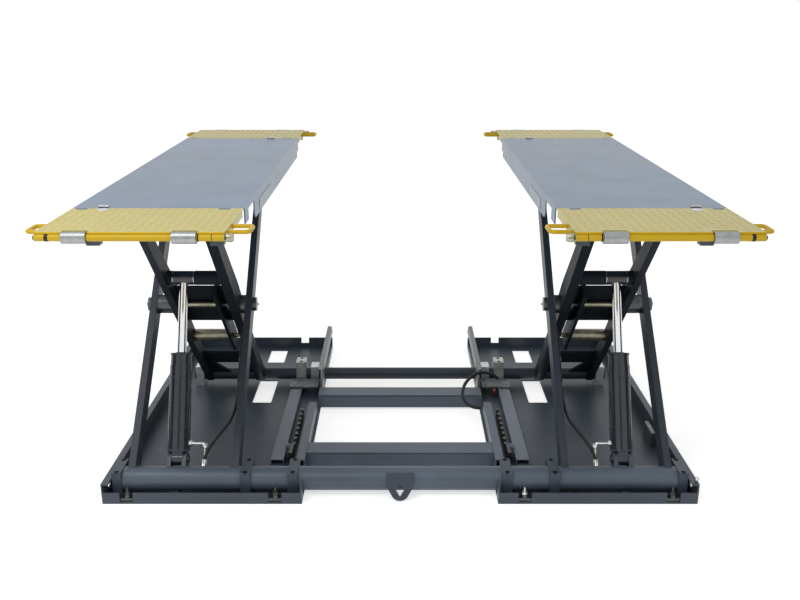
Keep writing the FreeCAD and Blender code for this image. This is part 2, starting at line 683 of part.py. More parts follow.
def levelling_screw(x):
    """A screw with its lug in a notch of the front lip."""
    y = s.lipSheet + s.screwHeadRadius + s.gap
    lug = slab(s.notchWidth, 2 * s.screwHeadRadius, s.screwLugSheet, x, s.lipSheet, s.baseSheet)
    hole = bar("z", s.screwRadius, s.screwLugSheet + 2 * s.overrun, (x, y, s.baseSheet - s.overrun))
    head = bar("z", s.screwHeadRadius, s.screwHeadHeight, (x, y, s.baseSheet + s.screwLugSheet))
    stem = bar("z", s.screwRadius, s.screwLugSheet, (x, y, s.baseSheet))
    return [cut(lug, hole), fuse(stem, head)]


def build_bases():
    keep_pair("base_pan", base_pan())
    keep("front_beam", cross_beam(s.frontBeamY))
    keep("rear_beam", cross_beam(s.rearBeamY))
    keep("saddle_blocks", both(group(*[saddle_block(x) for x in saddle_places()])))
    bolts = []
    for x in saddle_places():
        bolts.extend(saddle_bolts(x))
    keep("saddle_bolts", both(group(*bolts)))
    keep("channel_rails", both(channel_rail()))
    keep("lock_racks", both(lock_rack()))
    keep("guide_angles", both(guide_angle()))
    outerX = s.baseInner + s.baseWidth - s.notchInset - s.notchWidth / 2
    innerX = s.baseInner + s.innerNotchInset + s.notchWidth / 2
    screws = levelling_screw(outerX) + levelling_screw(innerX)
    keep("levelling_screws", both(group(*screws)))
    blankX = s.deckOuter - s.blankInset
    block = slab(s.blankSheet, s.blankWidth, s.blankDepth, blankX, s.blankY, s.baseSheet)
    keep("blank_plate", block)


# Torque tube and legs

def torque_tube():
    """One tube across both bases."""
    half = s.tubeHalfLength
    outer = bar("x", s.tubeRadius, 2 * half, (-half, s.tubeAxisY, s.tubeAxisZ))
    reach = half + s.overrun
    inner = bar("x", s.tubeRadius - s.tubeWall, 2 * reach, (-reach, s.tubeAxisY, s.tubeAxisZ))
    return cut(outer, inner)


def tow_lug():
    """A leaning plate on the front of the tube with a round lower end and a pointed hole."""
    half = s.lugWidth / 2
    lean = math.radians(s.lugLean.value)
    cheek = math.sqrt(s.lugRound.value ** 2 - (s.lugRoundDrop / 3).value ** 2)
    chin = s.lugRoundDrop + s.lugRoundDrop / 3
    outline = [(-half, s.lugTop), (-half, -s.lugSide), (-cheek, -chin), (cheek, -chin), (half, -s.lugSide),
               (half, s.lugTop)]
    web = plate(outline, [], s.lugPlate, 0)
    length = s.lugPlate + 2 * s.overrun
    end = across(s.lugRound, s.lugPlate, (0, 0, -s.lugRoundDrop))
    hole = across(s.lugHole, length, (0, 0, -s.lugHoleDrop))
    slope = s.lugHole / math.sqrt(2)
    low = -s.lugHoleDrop - slope
    point = plate([(-slope, low), (0, -s.lugPoint), (slope, low)], [], length, 0)
    reach = (s.tubeRadius + s.lugPlate / 2).value
    place = Vector(0, s.tubeAxisY.value - reach * math.cos(lean), s.tubeAxisZ.value + reach * math.sin(lean))
    turned = Rotation(Vector(1, 0, 0), -s.lugLean.value) * Rotation(Vector(0, 0, 1), 90)
    return in_frame(cut(fuse(web, end), fuse(hole, point)), Placement(place, turned))


def leg(x):
    """A flat bar from the torque tube to the deck roller, tapered at the top and bored at the middle."""
    half = s.armLength / 2
    start = s.tubeRadius / 2
    end = s.armLength
    knee = end - s.legTaper
    outline = [
        (start, -s.legHalfDepth), (knee, -s.legHalfDepth), (end, -s.legEndRadius),
        (end, s.legEndRadius), (knee, s.legHalfDepth), (start, s.legHalfDepth),
    ]
    holes = [(half, 0, s.pivotRadius)]
    web = plate(outline, holes, s.legThick, x)
    nose = across(s.legEndRadius, s.legThick, (x, end, 0))
    bore = across(s.deckPinRadius, s.legThick + 2 * s.overrun, (x, end, 0))
    tube = across(s.tubeRadius, s.legThick + 2 * s.overrun, (x, 0, 0))
    return cut(fuse(web, nose), bore, tube)


def arm_thick(x):
    return s.innerArmThick if x is s.innerArmX else s.armThick


def pivot_pin(legX, armX):
    """A headed pin through a leg and an arm, with a spacer between them and a nut on the far side."""
    half = s.armLength / 2
    side = 1 if legX.value > armX.value else -1
    legFace = legX + side * s.legThick / 2
    legBack = legX - side * s.legThick / 2
    armFace = armX + side * arm_thick(armX) / 2
    armBack = armX - side * arm_thick(armX) / 2
    nutEnd = armBack - side * (s.pivotHeadLength + s.gap)
    stem = span_bar(s.pivotRadius, nutEnd, legFace, half)
    head = span_bar(s.pivotHeadRadius, legFace, legFace + side * s.pivotHeadLength, half)
    nut = span_bar(s.pivotHeadRadius, armBack - side * s.gap, nutEnd, half)
    spacer = span_bar(s.pivotBossRadius, armFace + side * s.gap, legBack, half)
    tip = cut(spacer, span_bar(s.pivotRadius, armFace, legFace, half))
    return fuse(stem, head, nut), tip


def span_bar(radius, fromX, toX, y):
    """A round bar along X between two places, at a distance along the frame."""
    low, high = (fromX, toX) if number(fromX) < number(toX) else (toX, fromX)
    return bar("x", radius, high - low, (low, y, 0))


def roller_side(x):
    """Rollers sit on the side of a leg that faces away from the arms."""
    return 1 if x.value > s.cylinderX.value else -1


def deck_axle(x):
    side = roller_side(x)
    start = x - side * s.legThick / 2
    end = x + side * (s.legThick / 2 + s.deckRollerWidth + 2 * s.gap)
    return span_bar(s.deckPinRadius, start, end, s.armLength)


def deck_roller_radius():
    """Rollers run just under the deck sheet."""
    return s.deckDrop - s.deckSheet - s.gap


def deck_roller(x):
    side = roller_side(x)
    start = x + side * (s.legThick / 2 + s.gap)
    end = start + side * s.deckRollerWidth
    ring = span_bar(deck_roller_radius(), start, end, s.armLength)
    bore = span_bar(s.deckPinRadius + s.runFit, start - side * s.overrun, end + side * s.overrun, s.armLength)
    return cut(ring, bore)


def foot_lugs():
    """Two lugs on the torque tube beside the foot eye."""
    lugs = []
    for side in (-1, 1):
        x = s.cylinderX + side * (s.eyeHalfWidth + s.gap + s.lugSheet / 2)
        start = s.tubeRadius / 2
        web = slab(s.lugSheet, s.footOffset - start, 2 * s.lugReach, x, start, -s.lugReach)
        nose = across(s.lugReach, s.lugSheet, (x, s.footOffset, 0))
        tube = across(s.tubeRadius, s.lugSheet + 2 * s.overrun, (x, 0, 0))
        bore = across(s.eyeBore - s.runFit, s.lugSheet + 2 * s.overrun, (x, s.footOffset, 0))
        lugs.append(cut(fuse(web, nose), tube, bore))
    return group(*lugs)


def foot_pin():
    length = 2 * (s.eyeHalfWidth + s.gap + s.lugSheet + s.overrun)
    return across(s.eyeBore - s.runFit, length, (s.cylinderX, s.footOffset, 0))


def stop_tab():
    """A small tab welded under the tube beside the cylinder."""
    x = s.cylinderX
    y = s.tubeAxisY - s.tubeRadius
    web = slab(s.stopTabWidth, s.tubeRadius, s.stopTabDepth, x, y, s.baseSheet + s.gap)
    room = across(s.tubeRadius, s.stopTabWidth + 2 * s.overrun, (x, s.tubeAxisY, s.tubeAxisZ))
    return cut(web, room)


def bent_tube(points, radius):
    """A round hose along straight runs joined by tangent arcs, as large as the runs allow."""
    share = 0.45
    edges = []
    last = points[0]
    for before, corner, after in zip(points, points[1:], points[2:]):
        inward = (before - corner).normalize()
        outward = (after - corner).normalize()
        run = min(before.distanceToPoint(corner), after.distanceToPoint(corner))
        reach = share * run
        start = corner + inward * reach
        end = corner + outward * reach
        turn = math.pi - inward.getAngle(outward)
        bend = reach / math.tan(turn / 2)
        print("hose bend radius %.1f" % bend)
        middle = corner + (inward + outward).normalize() * (bend / math.cos(turn / 2) - bend)
        edges.append(Part.LineSegment(last, start).toShape())
        edges.append(Part.Arc(start, middle, end).toShape())
        last = end
    edges.append(Part.LineSegment(last, points[-1]).toShape())
    path = Part.Wire(edges)
    direction = points[1] - points[0]
    ring = Part.Wire([Part.Circle(points[0], direction, radius).toShape()])
    tube = path.makePipeShell([ring], True, False)
    length = sum(edge.Length for edge in edges)
    print("hose volume share %.4f" % (tube.Volume / (math.pi * radius ** 2 * length)))
    return tube


def hose():
    """A hose from the fitting at a cylinder's foot, across to the inner leg and up along it."""
    radius = s.hoseRadius.value
    legFace = s.innerLegX.value + s.legThick.value / 2 + radius + s.gap.value
    side = s.hoseX.value
    foot = s.footOffset.value
    depth = s.legHalfDepth.value
    half = s.armLength.value / 2
    points = [
        Vector(side, foot * hoseFootShare, depth * hoseDepthShare),
        Vector(side - depth * 0.5, foot * 1.5, depth * 0.5),
        Vector(side - depth * 1.4, foot * 2.2, depth * 0.2),
        Vector(legFace + depth * 0.3, foot * 3.2, 0),
        Vector(legFace, foot * 4.4, -depth * 0.2),
        Vector(legFace, half * 0.62, 0),
        Vector(legFace, half * 0.86, 0),
    ]
    item = doc.addObject("Part::Feature", "Hose")
    item.Shape = bent_tube(points, radius)
    return item


def fitting():
    """A union on the foot lug that the hose leaves, beside the cylinder."""
    x = s.hoseX
    y = s.footOffset * hoseFootShare - s.fittingLength
    stem = bar("y", s.fittingRadius, s.fittingLength, (x, y, s.legHalfDepth * hoseDepthShare))
    tube = across(s.tubeRadius, 4 * s.fittingRadius, (x, 0, 0))
    return cut(stem, tube)


def build_lift_frame():
    keep("torque_tube", torque_tube())
    keep("tow_lug", tow_lug())
    keep_pair("outer_leg", leg(s.outerLegX), legFrame)
    keep_pair("inner_leg", leg(s.innerLegX), legFrame)
    outerPin, outerSpacer = pivot_pin(s.outerLegX, s.outerArmX)
    innerPin, innerSpacer = pivot_pin(s.innerLegX, s.innerArmX)
    pins = group(outerPin, innerPin, outerSpacer, innerSpacer, centre_shaft())
    keep("pivot_pins", both(in_frame(pins, legFrame)))
    axles = group(deck_axle(s.outerLegX), deck_axle(s.innerLegX))
    keep("deck_roller_axles", both(in_frame(axles, legFrame)))
    rollers = group(deck_roller(s.outerLegX), deck_roller(s.innerLegX))
    keep_pair("deck_rollers", rollers, legFrame)
    keep("foot_lugs", both(group(in_frame(foot_lugs(), legFrame), stop_tab())))
    keep("foot_pins", both(in_frame(foot_pin(), legFrame)))
    keep_pair("hose", group(hose(), fitting()), legFrame)


# Arms

def arm(x):
    """A deep plate from the top pivot to the rear tube: kinked in front at its top, slimmer behind below."""
    half = s.armLength / 2
    end = s.armLength
    thick = arm_thick(x)
    outline = [
        (0, -s.armEndRadius), (s.armKinkStart, -s.armEndRadius),
        (s.armKinkStart + s.armKinkLength, -s.armKinkDepth), (half, -s.armHalfDepth),
        (end - s.legTaper, -s.armHalfDepth), (end, -s.armTailRadius),
        (end, s.armTailHalf), (s.armBackTaper, s.armTailHalf), (s.armTaper, s.armHalfDepth),
        (0, s.armEndRadius),
    ]
    web = plate(outline, [(half, 0, s.pivotRadius + s.runFit)], thick, x)
    nose = across(s.armEndRadius, thick, (x, 0, 0))
    tail = across(s.armTailRadius, thick, (x, end, 0))
    reach = thick + 2 * s.overrun
    topBore = across(s.deckPinRadius + s.runFit, reach, (x, 0, 0))
    tubeBore = across(s.rearTubeRadius, reach, (x, end, 0))
    return cut(fuse(web, nose, tail), topBore, tubeBore)


def arm_room():
    """The faces of the two arms of one lift that look at each other."""
    inner = s.innerArmX + s.innerArmThick / 2
    outer = s.outerArmX - s.armThick / 2
    return inner, outer


def rear_tube():
    length = 2 * s.rearTubeHalfLength
    start = (-s.rearTubeHalfLength, 0, s.tubeAxisZ)
    outer = bar("x", s.rearTubeRadius, length, start)
    start = (-s.rearTubeHalfLength - s.overrun, 0, s.tubeAxisZ)
    inner = bar("x", s.rearTubeRadius - s.rearTubeWall, length + 2 * s.overrun, start)
    return cut(outer, inner)


def cross_tubes():
    """A tube from each arm to the cross boss of the rod."""
    inner, outer = arm_room()
    reach = s.barrelRadius + s.bossGap
    long = span_bar(s.crossTubeRadius, inner, s.cylinderX - reach, s.rodPinAlong)
    short = span_bar(s.crossTubeRadius, s.cylinderX + reach, outer, s.rodPinAlong)
    return group(long, short)


def box_plate():
    """A plate between the arms, cut out for the nuts, and a side plate that holds the roller's shaft."""
    inner, outer = arm_room()
    size = (outer - inner, s.boxPlateLength, s.boxPlateSheet)
    back = box(size, (inner, s.boxPlateStart, s.boxPlateOffset))
    start = s.armLength / 2 - s.sidePlateLead
    end = start + s.sidePlateLength
    half = s.armHalfDepth
    outline = [(start, -half), (end, -half), (end, half), (start, half)]
    holes = [(s.armLength / 2, 0, s.centreShaftRadius + s.gap), (s.armRollerAlong, 0, s.armRollerShaft)]
    side = plate(outline, holes, s.sidePlateSheet, inner + s.sidePlateX + s.sidePlateSheet / 2)
    nutRoom = s.pivotHeadLength + 2 * s.gap
    rooms = [span_bar(s.pivotHeadRadius + s.gap, start, end, s.armLength / 2)
             for start, end in ((inner, inner + nutRoom), (outer - nutRoom, outer))]
    return fuse(cut(back, *rooms), side)


def centre_shaft():
    """A shaft between the nuts of the two centre pivots."""
    inner, outer = arm_room()
    clear = s.pivotHeadLength + s.gap
    return span_bar(s.centreShaftRadius, inner + clear, outer - clear, s.armLength / 2)


def arm_roller():
    inner, outer = arm_room()
    start = inner + s.sidePlateX + s.sidePlateSheet + s.gap
    end = outer - s.gap
    ring = span_bar(s.armRollerRadius, start, end, s.armRollerAlong)
    bore = span_bar(s.armRollerShaft + s.runFit, start - s.overrun, end + s.overrun, s.armRollerAlong)
    return cut(ring, bore)


def arm_roller_shaft():
    inner, outer = arm_room()
    return span_bar(s.armRollerShaft, inner, outer, s.armRollerAlong)


def tie_plate():
    inner, outer = arm_room()
    size = (outer - inner, s.tieLength, s.tieSheet)
    return box(size, (inner, s.tieStart, -s.tieSheet / 2))


def gusset(x, side):
    """A triangular plate in the plane of the arms, from an arm out to the rear tube."""
    body = doc.addObject("PartDesign::Body", "Gusset")
    sketch = body.newObject("Sketcher::SketchObject", "Outline")
    plane = [part for part in body.Origin.OriginFeatures if part.Role == "XY_Plane"][0]
    sketch.AttachmentSupport = [(plane, "")]
    sketch.MapMode = "FlatFace"
    edge = x + side * arm_thick(x) / 2
    back = s.armLength - s.rearTubeRadius
    outline = [(edge, back - s.gussetLength), (edge + side * s.gussetReach, back), (edge, back)]
    corners = [Vector(number(a), number(b), 0) for a, b in outline]
    for place in range(3):
        sketch.addGeometry(Part.LineSegment(corners[place], corners[(place + 1) % 3]), False)
    for place in range(3):
        sketch.addConstraint(Sketcher.Constraint("Coincident", place, 2, (place + 1) % 3, 1))
    for place, (a, b) in enumerate(outline):
        pin_point(sketch, place, 1, a, b)
    pad = body.newObject("PartDesign::Pad", "Pad")
    pad.Profile = sketch
    pad.Midplane = True
    bind(pad, "Length", s.tieSheet)
    body.Tip = pad
    return body


def build_arm_frame():
    keep_pair("outer_arm", arm(s.outerArmX), armFrame)
    keep_pair("inner_arm", arm(s.innerArmX), armFrame)
    keep("rear_tube", in_frame(rear_tube(), rearFrame))
    keep("arm_cross_tubes", both(in_frame(cross_tubes(), armFrame)))
    tie = fuse(tie_plate(), gusset(s.outerArmX, -1), gusset(s.innerArmX, 1))
    keep("arm_plates", both(in_frame(group(box_plate(), tie), armFrame)))
    spacers = group(arm_roller_shaft(), arm_roller())
    keep("arm_spacers", both(in_frame(spacers, armFrame)))


# Cylinders

def barrel():
    """Barrel with a closed foot, an eye on the foot pin and a screwed gland."""
    length = s.barrelEnd - s.glandLength - s.barrelStart
    outer = bar("y", s.barrelRadius, length, (s.cylinderX, s.barrelStart, 0))
    gland = bar("y", s.glandRadius, s.glandLength, (s.cylinderX, s.barrelEnd - s.glandLength, 0))
    neckHalf = s.eyeRadius * neckShare
    neck = slab(2 * s.eyeHalfWidth, s.barrelStart + s.overrun, 2 * neckHalf, s.cylinderX, 0, -neckHalf)
    eye = across(s.eyeRadius, 2 * s.eyeHalfWidth, (s.cylinderX, 0, 0))
    hollowStart = s.barrelStart + s.barrelBase
    hollow = bar("y", s.barrelBore, s.barrelEnd - s.glandLength - hollowStart, (s.cylinderX, hollowStart, 0))
    rodWay = bar("y", s.rodRadius + s.runFit, s.glandLength + 2 * s.overrun,
                 (s.cylinderX, s.barrelEnd - s.glandLength - s.overrun, 0))
    pinBore = across(s.eyeBore, 2 * s.eyeHalfWidth + 2 * s.overrun, (s.cylinderX, 0, 0))
    return cut(fuse(outer, gland, neck, eye), hollow, rodWay, pinBore)


def rod():
    """Chromed rod with a piston inside the barrel and a cross boss between the arms."""
    reach = Size(cylinderLength, repr(cylinderLength))
    pistonStart = s.barrelEnd - s.glandLength - s.pistonGap - s.pistonLength
    piston = bar("y", s.barrelBore - s.runFit, s.pistonLength, (s.cylinderX, pistonStart, 0))
    shank = bar("y", s.rodRadius, reach - pistonStart, (s.cylinderX, pistonStart, 0))
    boss = across((s.crossTubeRadius - s.bossGap), 2 * s.barrelRadius, (s.cylinderX, reach, 0))
    bore = across(s.eyeBore, 2 * s.barrelRadius + 2 * s.overrun, (s.cylinderX, reach, 0))
    return cut(fuse(piston, shank, boss), bore)


def build_cylinders():
    keep_pair("cylinder_barrel", barrel(), cylinderFrame)
    keep_pair("cylinder_rod", rod(), cylinderFrame)


# Decks

def skirt(x):
    """A side skirt, cut away over the torque tube and its blocks."""
    top = s.liftHeight - s.deckSheet
    front = s.skirtSetback - s.deckFront
    back = s.deckLength - s.deckFront
    tab = s.liftHeight - s.skirtTab
    low = s.liftHeight - s.skirtDepth
    reliefStart = s.tubeAxisY - s.saddleFront - s.reliefFront
    reliefEnd = s.tubeAxisY + s.saddleBack + s.reliefFront
    reliefZ = s.liftHeight - s.skirtRelief
    rearDepth = s.loweredHeight - s.tubeAxisZ - s.rearTubeRadius - s.rearReliefGap
    rearStart = loweredPivotY - s.rearTubeRadius - s.rearReliefGap
    outline = [
        (front, top), (front, tab), (reliefStart, tab), (reliefStart, reliefZ),
        (reliefEnd, reliefZ), (reliefEnd, low + s.skirtCorner), (reliefEnd + s.skirtCorner, low),
        (rearStart, low), (rearStart, s.liftHeight - rearDepth),
        (back, s.liftHeight - rearDepth), (back, top),
    ]
    return plate(outline, [], s.skirtSheet, x)


def pivot_lug(x):
    """A lug under the deck sheet, bored for a top pivot pin."""
    height = s.deckDrop - s.deckSheet
    y = s.tubeAxisY - s.armEndRadius
    web = slab(s.deckLugSheet, 2 * s.armEndRadius, height, x, y, topPivotZ)
    nose = across(s.armEndRadius, s.deckLugSheet, (x, s.tubeAxisY, topPivotZ))
    reach = s.deckLugSheet + 2 * s.overrun
    return cut(fuse(web, nose), across(s.deckPinRadius, reach, (x, s.tubeAxisY, topPivotZ)))


def deck():
    """A deck sheet with side skirts, top pivot lugs and hinge knuckles at both ends."""
    size = (s.deckWidth, s.deckLength, s.deckSheet)
    pieces = [box(size, (s.deckInner, -s.deckFront, s.liftHeight - s.deckSheet))]
    half = s.skirtSheet / 2
    pieces.append(skirt(s.deckInner + half))
    pieces.append(skirt(s.deckInner + s.deckWidth - half))
    for armX in (s.outerArmX, s.innerArmX):
        for side in (-1, 1):
            reach = arm_thick(armX) / 2 + s.gap + s.deckLugSheet / 2
            pieces.append(pivot_lug(armX + side * reach))
    pieces.append(knuckles())
    pieces.append(flip(knuckles()))
    return fuse(*pieces)


def hinge_axis():
    return -s.deckFront - s.rampHingeReach, s.liftHeight - s.rampHingeDrop


def knuckle_place(share):
    """X of a hinge knuckle, from its share of the deck's width."""
    room = s.deckWidth - s.innerKnuckleInset - s.outerKnuckleInset
    return s.deckInner + s.innerKnuckleInset + room * share


def knuckles():
    """Knuckles on the front edge of a deck, bored for the hinge pin."""
    y, z = hinge_axis()
    pieces = []
    for share in deckKnuckleShares:
        x = knuckle_place(share)
        ring = across(s.knuckleRadius, s.knuckleWidth, (x, y, z))
        height = s.liftHeight - z + s.knuckleRadius
        web = slab(s.knuckleWidth, s.rampHingeReach, height, x, y, z - s.knuckleRadius)
        bore = across(s.hingePinRadius, s.knuckleWidth + 2 * s.overrun, (x, y, z))
        pieces.append(cut(fuse(ring, web), bore))
    return group(*pieces)


def deck_pins():
    """Top pivot pins and the hinge pins of both ramps."""
    pieces = []
    for armX in (s.outerArmX, s.innerArmX):
        length = arm_thick(armX) + 2 * (s.gap + s.deckLugSheet)
        pieces.append(across(s.deckPinRadius, length, (armX, s.tubeAxisY, topPivotZ)))
    pieces.append(hinge_pin())
    pieces.append(flip(hinge_pin()))
    return group(*pieces)


def hinge_pin():
    y, z = hinge_axis()
    start = knuckle_place(deckKnuckleShares[0]) - s.knuckleWidth / 2
    end = knuckle_place(deckKnuckleShares[-1]) + s.knuckleWidth / 2
    return bar("x", s.hingePinRadius, end - start, (start, y, z))


def build_decks():
    keep_pair("deck", deck())
    keep_pair("deck_pins", deck_pins())


# Ramps

def ramp_front():
    """Y of a ramp's outer rod, and of its stop blocks and side flanges behind the rollers."""
    rodY = -s.deckFront - s.rampLength
    return rodY, rodY + s.rampRollerRadius + s.notchGap


def ramp_tread():
    """Tread plate out to the rod, cut out round its rollers and round the knuckles of the deck."""
    rodY, edgeY = ramp_front()
    top = s.liftHeight
    length = -s.deckFront - s.rampGap - rodY
    tread = box((s.deckWidth, length, s.rampSheet), (s.deckInner, rodY, top - s.rampSheet))
    width = s.knuckleWidth + 2 * s.notchGap
    depth = s.rampHingeReach + s.knuckleRadius + s.notchGap
    height = s.rampSheet + 2 * s.overrun
    size = (width, depth + s.overrun, height)
    low = top - s.rampSheet - s.overrun
    rollerWidth = s.rampRollerLength + 2 * s.notchGap
    rollerSize = (rollerWidth, edgeY - rodY + s.overrun, height)
    tools = [box(rollerSize, (x - rollerWidth / 2, rodY - s.overrun, low))
             for x in (s.innerRollerX, s.outerRollerX)]
    for share in deckKnuckleShares:
        tools.append(box(size, (knuckle_place(share) - width / 2, -s.deckFront - depth, low)))
    return cut(tread, *tools)


def ramp_side(x):
    """Side flange of a ramp with the round end that carries the outer rod."""
    rodY, edgeY = ramp_front()
    top = s.liftHeight
    rodZ = top - s.rampRodDrop
    back = -s.deckFront - s.rampHingeReach - s.knuckleRadius - s.notchGap
    flange = box((s.rampSheet, back - edgeY, s.rampFlange), (x, edgeY, top - s.rampFlange))
    size = (s.rampSheet, edgeY - rodY + s.overrun, 2 * s.sleeveRadius)
    tail = box(size, (x, rodY, rodZ - s.sleeveRadius))
    nose = bar("x", s.sleeveRadius, s.rampSheet, (x, rodY, rodZ))
    return fuse(flange, tail, nose)


def ramp_knuckle(x):
    """Hinge knuckle of a ramp and the foot that joins it to the tread plate."""
    y, z = hinge_axis()
    ring = across(s.knuckleRadius, s.knuckleWidth, (x, y, z))
    low = s.liftHeight - s.rampSheet - s.knuckleRadius
    foot = slab(s.knuckleWidth, s.knuckleFoot, s.knuckleRadius, x, y - s.knuckleFoot, low)
    bore = across(s.hingePinRadius + s.runFit, s.knuckleWidth + 2 * s.overrun, (x, y, z))
    return cut(fuse(ring, foot), bore)


def ramp_panel():
    """Tread plate with side flanges, hinge knuckles and two stop blocks."""
    rodY, edgeY = ramp_front()
    pieces = [ramp_tread(), ramp_side(s.deckInner), ramp_side(s.deckInner + s.deckWidth - s.rampSheet)]
    for share in rampKnuckleShares:
        pieces.append(ramp_knuckle(knuckle_place(share)))
    low = s.liftHeight - s.rampSheet - s.blockHeight
    for x in (s.outerBlockX, s.innerBlockX):
        pieces.append(slab(s.blockWidth, s.blockDepth, s.blockHeight, x, edgeY, low))
    middle = s.deckInner + s.deckWidth / 2
    rodZ = s.liftHeight - s.rampRodDrop
    rod = across(s.rampRodRadius, s.deckWidth + 2 * s.overrun, (middle, rodY, rodZ))
    return cut(fuse(*pieces), rod)


def ramp_rod():
    """Outer rod of a ramp with the sleeves that keep its rollers apart."""
    rodY = -s.deckFront - s.rampLength
    z = s.liftHeight - s.rampRodDrop
    start = s.deckInner
    end = s.deckInner + s.deckWidth
    stem = bar("x", s.rampRodRadius, s.deckWidth, (start, rodY, z))
    pieces = [stem]
    half = s.rampRollerLength / 2 + 2 * s.gap
    edges = [start + s.rampSheet + s.gap, s.innerRollerX - half, s.innerRollerX + half,
             s.outerRollerX - half, s.outerRollerX + half, end - s.rampSheet - s.gap]
    for low, high in zip(edges[::2], edges[1::2]):
        pieces.append(bar("x", s.sleeveRadius, high - low, (low, rodY, z)))
    return fuse(*pieces)


def ramp_rollers():
    rodY = -s.deckFront - s.rampLength
    z = s.liftHeight - s.rampRodDrop
    rollers = []
    for x in (s.innerRollerX, s.outerRollerX):
        ring = across(s.rampRollerRadius, s.rampRollerLength, (x, rodY, z))
        bore = across(s.rampRodRadius + s.runFit, s.rampRollerLength + 2 * s.overrun, (x, rodY, z))
        rollers.append(cut(ring, bore))
    return group(*rollers)


def handle(x, side, reach):
    """A round bar bent to a loop on one side of a ramp."""
    bend = s.handleBend
    z = s.liftHeight - s.rampSheet - s.handleRadius
    front = -s.deckFront - s.rampLength + s.handleSetback
    back = front + s.handleLength
    cornerX = x + side * (reach - bend)
    low, high = (x, cornerX) if side > 0 else (cornerX, x)
    pieces = [bar("x", s.handleRadius, high - low, (low, y, z)) for y in (front, back)]
    endX = x + side * reach
    pieces.append(bar("y", s.handleRadius, back - front - 2 * bend, (endX, front + bend, z)))
    turns = (270, 0) if side > 0 else (180, 90)
    for y, turn in zip((front + bend, back - bend), turns):
        elbow = doc.addObject("Part::Torus", "Elbow")
        bind(elbow, "Radius1", bend)
        bind(elbow, "Radius2", s.handleRadius)
        elbow.Angle3 = 90
        elbow.Placement = Placement(Vector(), Rotation(Vector(0, 0, 1), turn))
        seat(elbow, (cornerX, y, z))
        pieces.append(elbow)
    return fuse(*pieces)


def build_ramps():
    outerX = s.deckInner + s.deckWidth
    outerLoop = handle(outerX, 1, s.outerHandleReach)
    innerLoop = handle(s.deckInner, -1, s.innerHandleReach)
    loops = group(outerLoop, innerLoop)
    rods = group(ramp_rod(), loops)
    pieces = (("ramp_panel", ramp_panel()), ("ramp_rod", rods), ("ramp_rollers", ramp_rollers()))
    for name, item in pieces:
        keep_pair("front_" + name, item)
        keep_pair("rear_" + name, flip(item))


# Lock carriages on the rear tube

def tube_block(x, width, depth, height):
    """A block on the floor of a base, bored for the rear tube."""
    floor = s.baseSheet + s.gap
    block = slab(width, depth, height - floor, x, -depth / 2, floor)
    bore = across(s.rearTubeRadius + s.runFit, width + 2 * s.overrun, (x, 0, s.tubeAxisZ))
    return cut(block, bore)


def lock_block():
    return tube_block(s.carriageX, s.carriageWidth, s.carriageDepth, s.carriageHeight)


def slide_blocks():
    """Inner and outer slide blocks of one lift."""
    inner = tube_block(s.slideX, s.slideWidth, s.slideDepth, s.slideHeight)
    outer = tube_block(s.outerSlideX, s.slideWidth, s.slideDepth, s.slideHeight)
    return group(inner, outer)


def lock_floor():
    """Under side of the lock bar."""
    return s.baseSheet + s.lockBarLift


def yoke():
    """Plate that ties the lock block to the lock bar, with four screw holes."""
    y = s.yokeY - rearPivotY
    z = lock_floor() + s.lockBarHeight
    base = slab(s.yokeWidth, s.yokeDepth, s.yokeSheet, s.yokeX, y, z)
    strap = slab(s.carriageWidth, -s.carriageDepth / 2 - y, s.yokeSheet, s.carriageX, y, z)
    tools = []
    inset = s.yokeHoleInset
    for x in (s.yokeX - s.yokeWidth / 2 + inset, s.yokeX + s.yokeWidth / 2 - inset):
        for holeY in (y + inset, y + s.yokeDepth - inset):
            reach = s.yokeSheet + 2 * s.overrun
            tools.append(bar("z", s.yokeHole, reach, (x, holeY, z - s.overrun)))
    return cut(fuse(base, strap), *tools)


def pawl_axis():
    """Y and Z of the pawl's pin, from the rear tube and the floor."""
    y = s.lockBarStart + s.pawlLength - rearPivotY
    z = s.baseSheet + s.rackHeight + s.pawlLift + s.pawlHeight / 2
    return y, z


def lock_bar():
    """A flat box bar, open at the front, with an ear for the pawl."""
    y = s.lockBarStart - rearPivotY
    length = s.yokeY + s.yokeDepth - s.lockBarStart
    z = lock_floor()
    outer = slab(s.lockBarWidth, length, s.lockBarHeight, s.lockBarX, y, z)
    width = s.lockBarWidth - 2 * s.lockBarWall
    height = s.lockBarHeight - 2 * s.lockBarWall
    hollow = length - s.yokeDepth + s.overrun
    inner = slab(width, hollow, height, s.lockBarX, y - s.overrun, z + s.lockBarWall)
    pinY, pinZ = pawl_axis()
    half = s.pawlHeight / 2
    earX = s.rackX + s.pawlWidth / 2 + s.gap
    earWidth = s.lockBarX - s.lockBarWidth / 2 - earX
    ear = box((earWidth, s.pawlHeight, pinZ - z), (earX, pinY - half, z))
    top = bar("x", half, earWidth, (earX, pinY, pinZ))
    bore = bar("x", s.pawlPinRadius, earWidth, (earX, pinY, pinZ))
    return fuse(cut(outer, inner), cut(fuse(ear, top), bore))


def pawl():
    """A short lever over the teeth of the rack, pinned to the lock bar."""
    y, z = pawl_axis()
    web = slab(s.pawlWidth, s.pawlLength, s.pawlHeight, s.rackX, y - s.pawlLength, z - s.pawlHeight / 2)
    nose = across(s.pawlHeight / 2, s.pawlWidth, (s.rackX, y, z))
    bore = across(s.pawlPinRadius + s.runFit, s.pawlWidth + 2 * s.overrun, (s.rackX, y, z))
    return cut(fuse(web, nose), bore)


def pawl_pin():
    y, z = pawl_axis()
    start = s.rackX - s.pawlWidth / 2 - s.gap
    end = s.lockBarX - s.lockBarWidth / 2
    return bar("x", s.pawlPinRadius, end - start, (start, y, z))


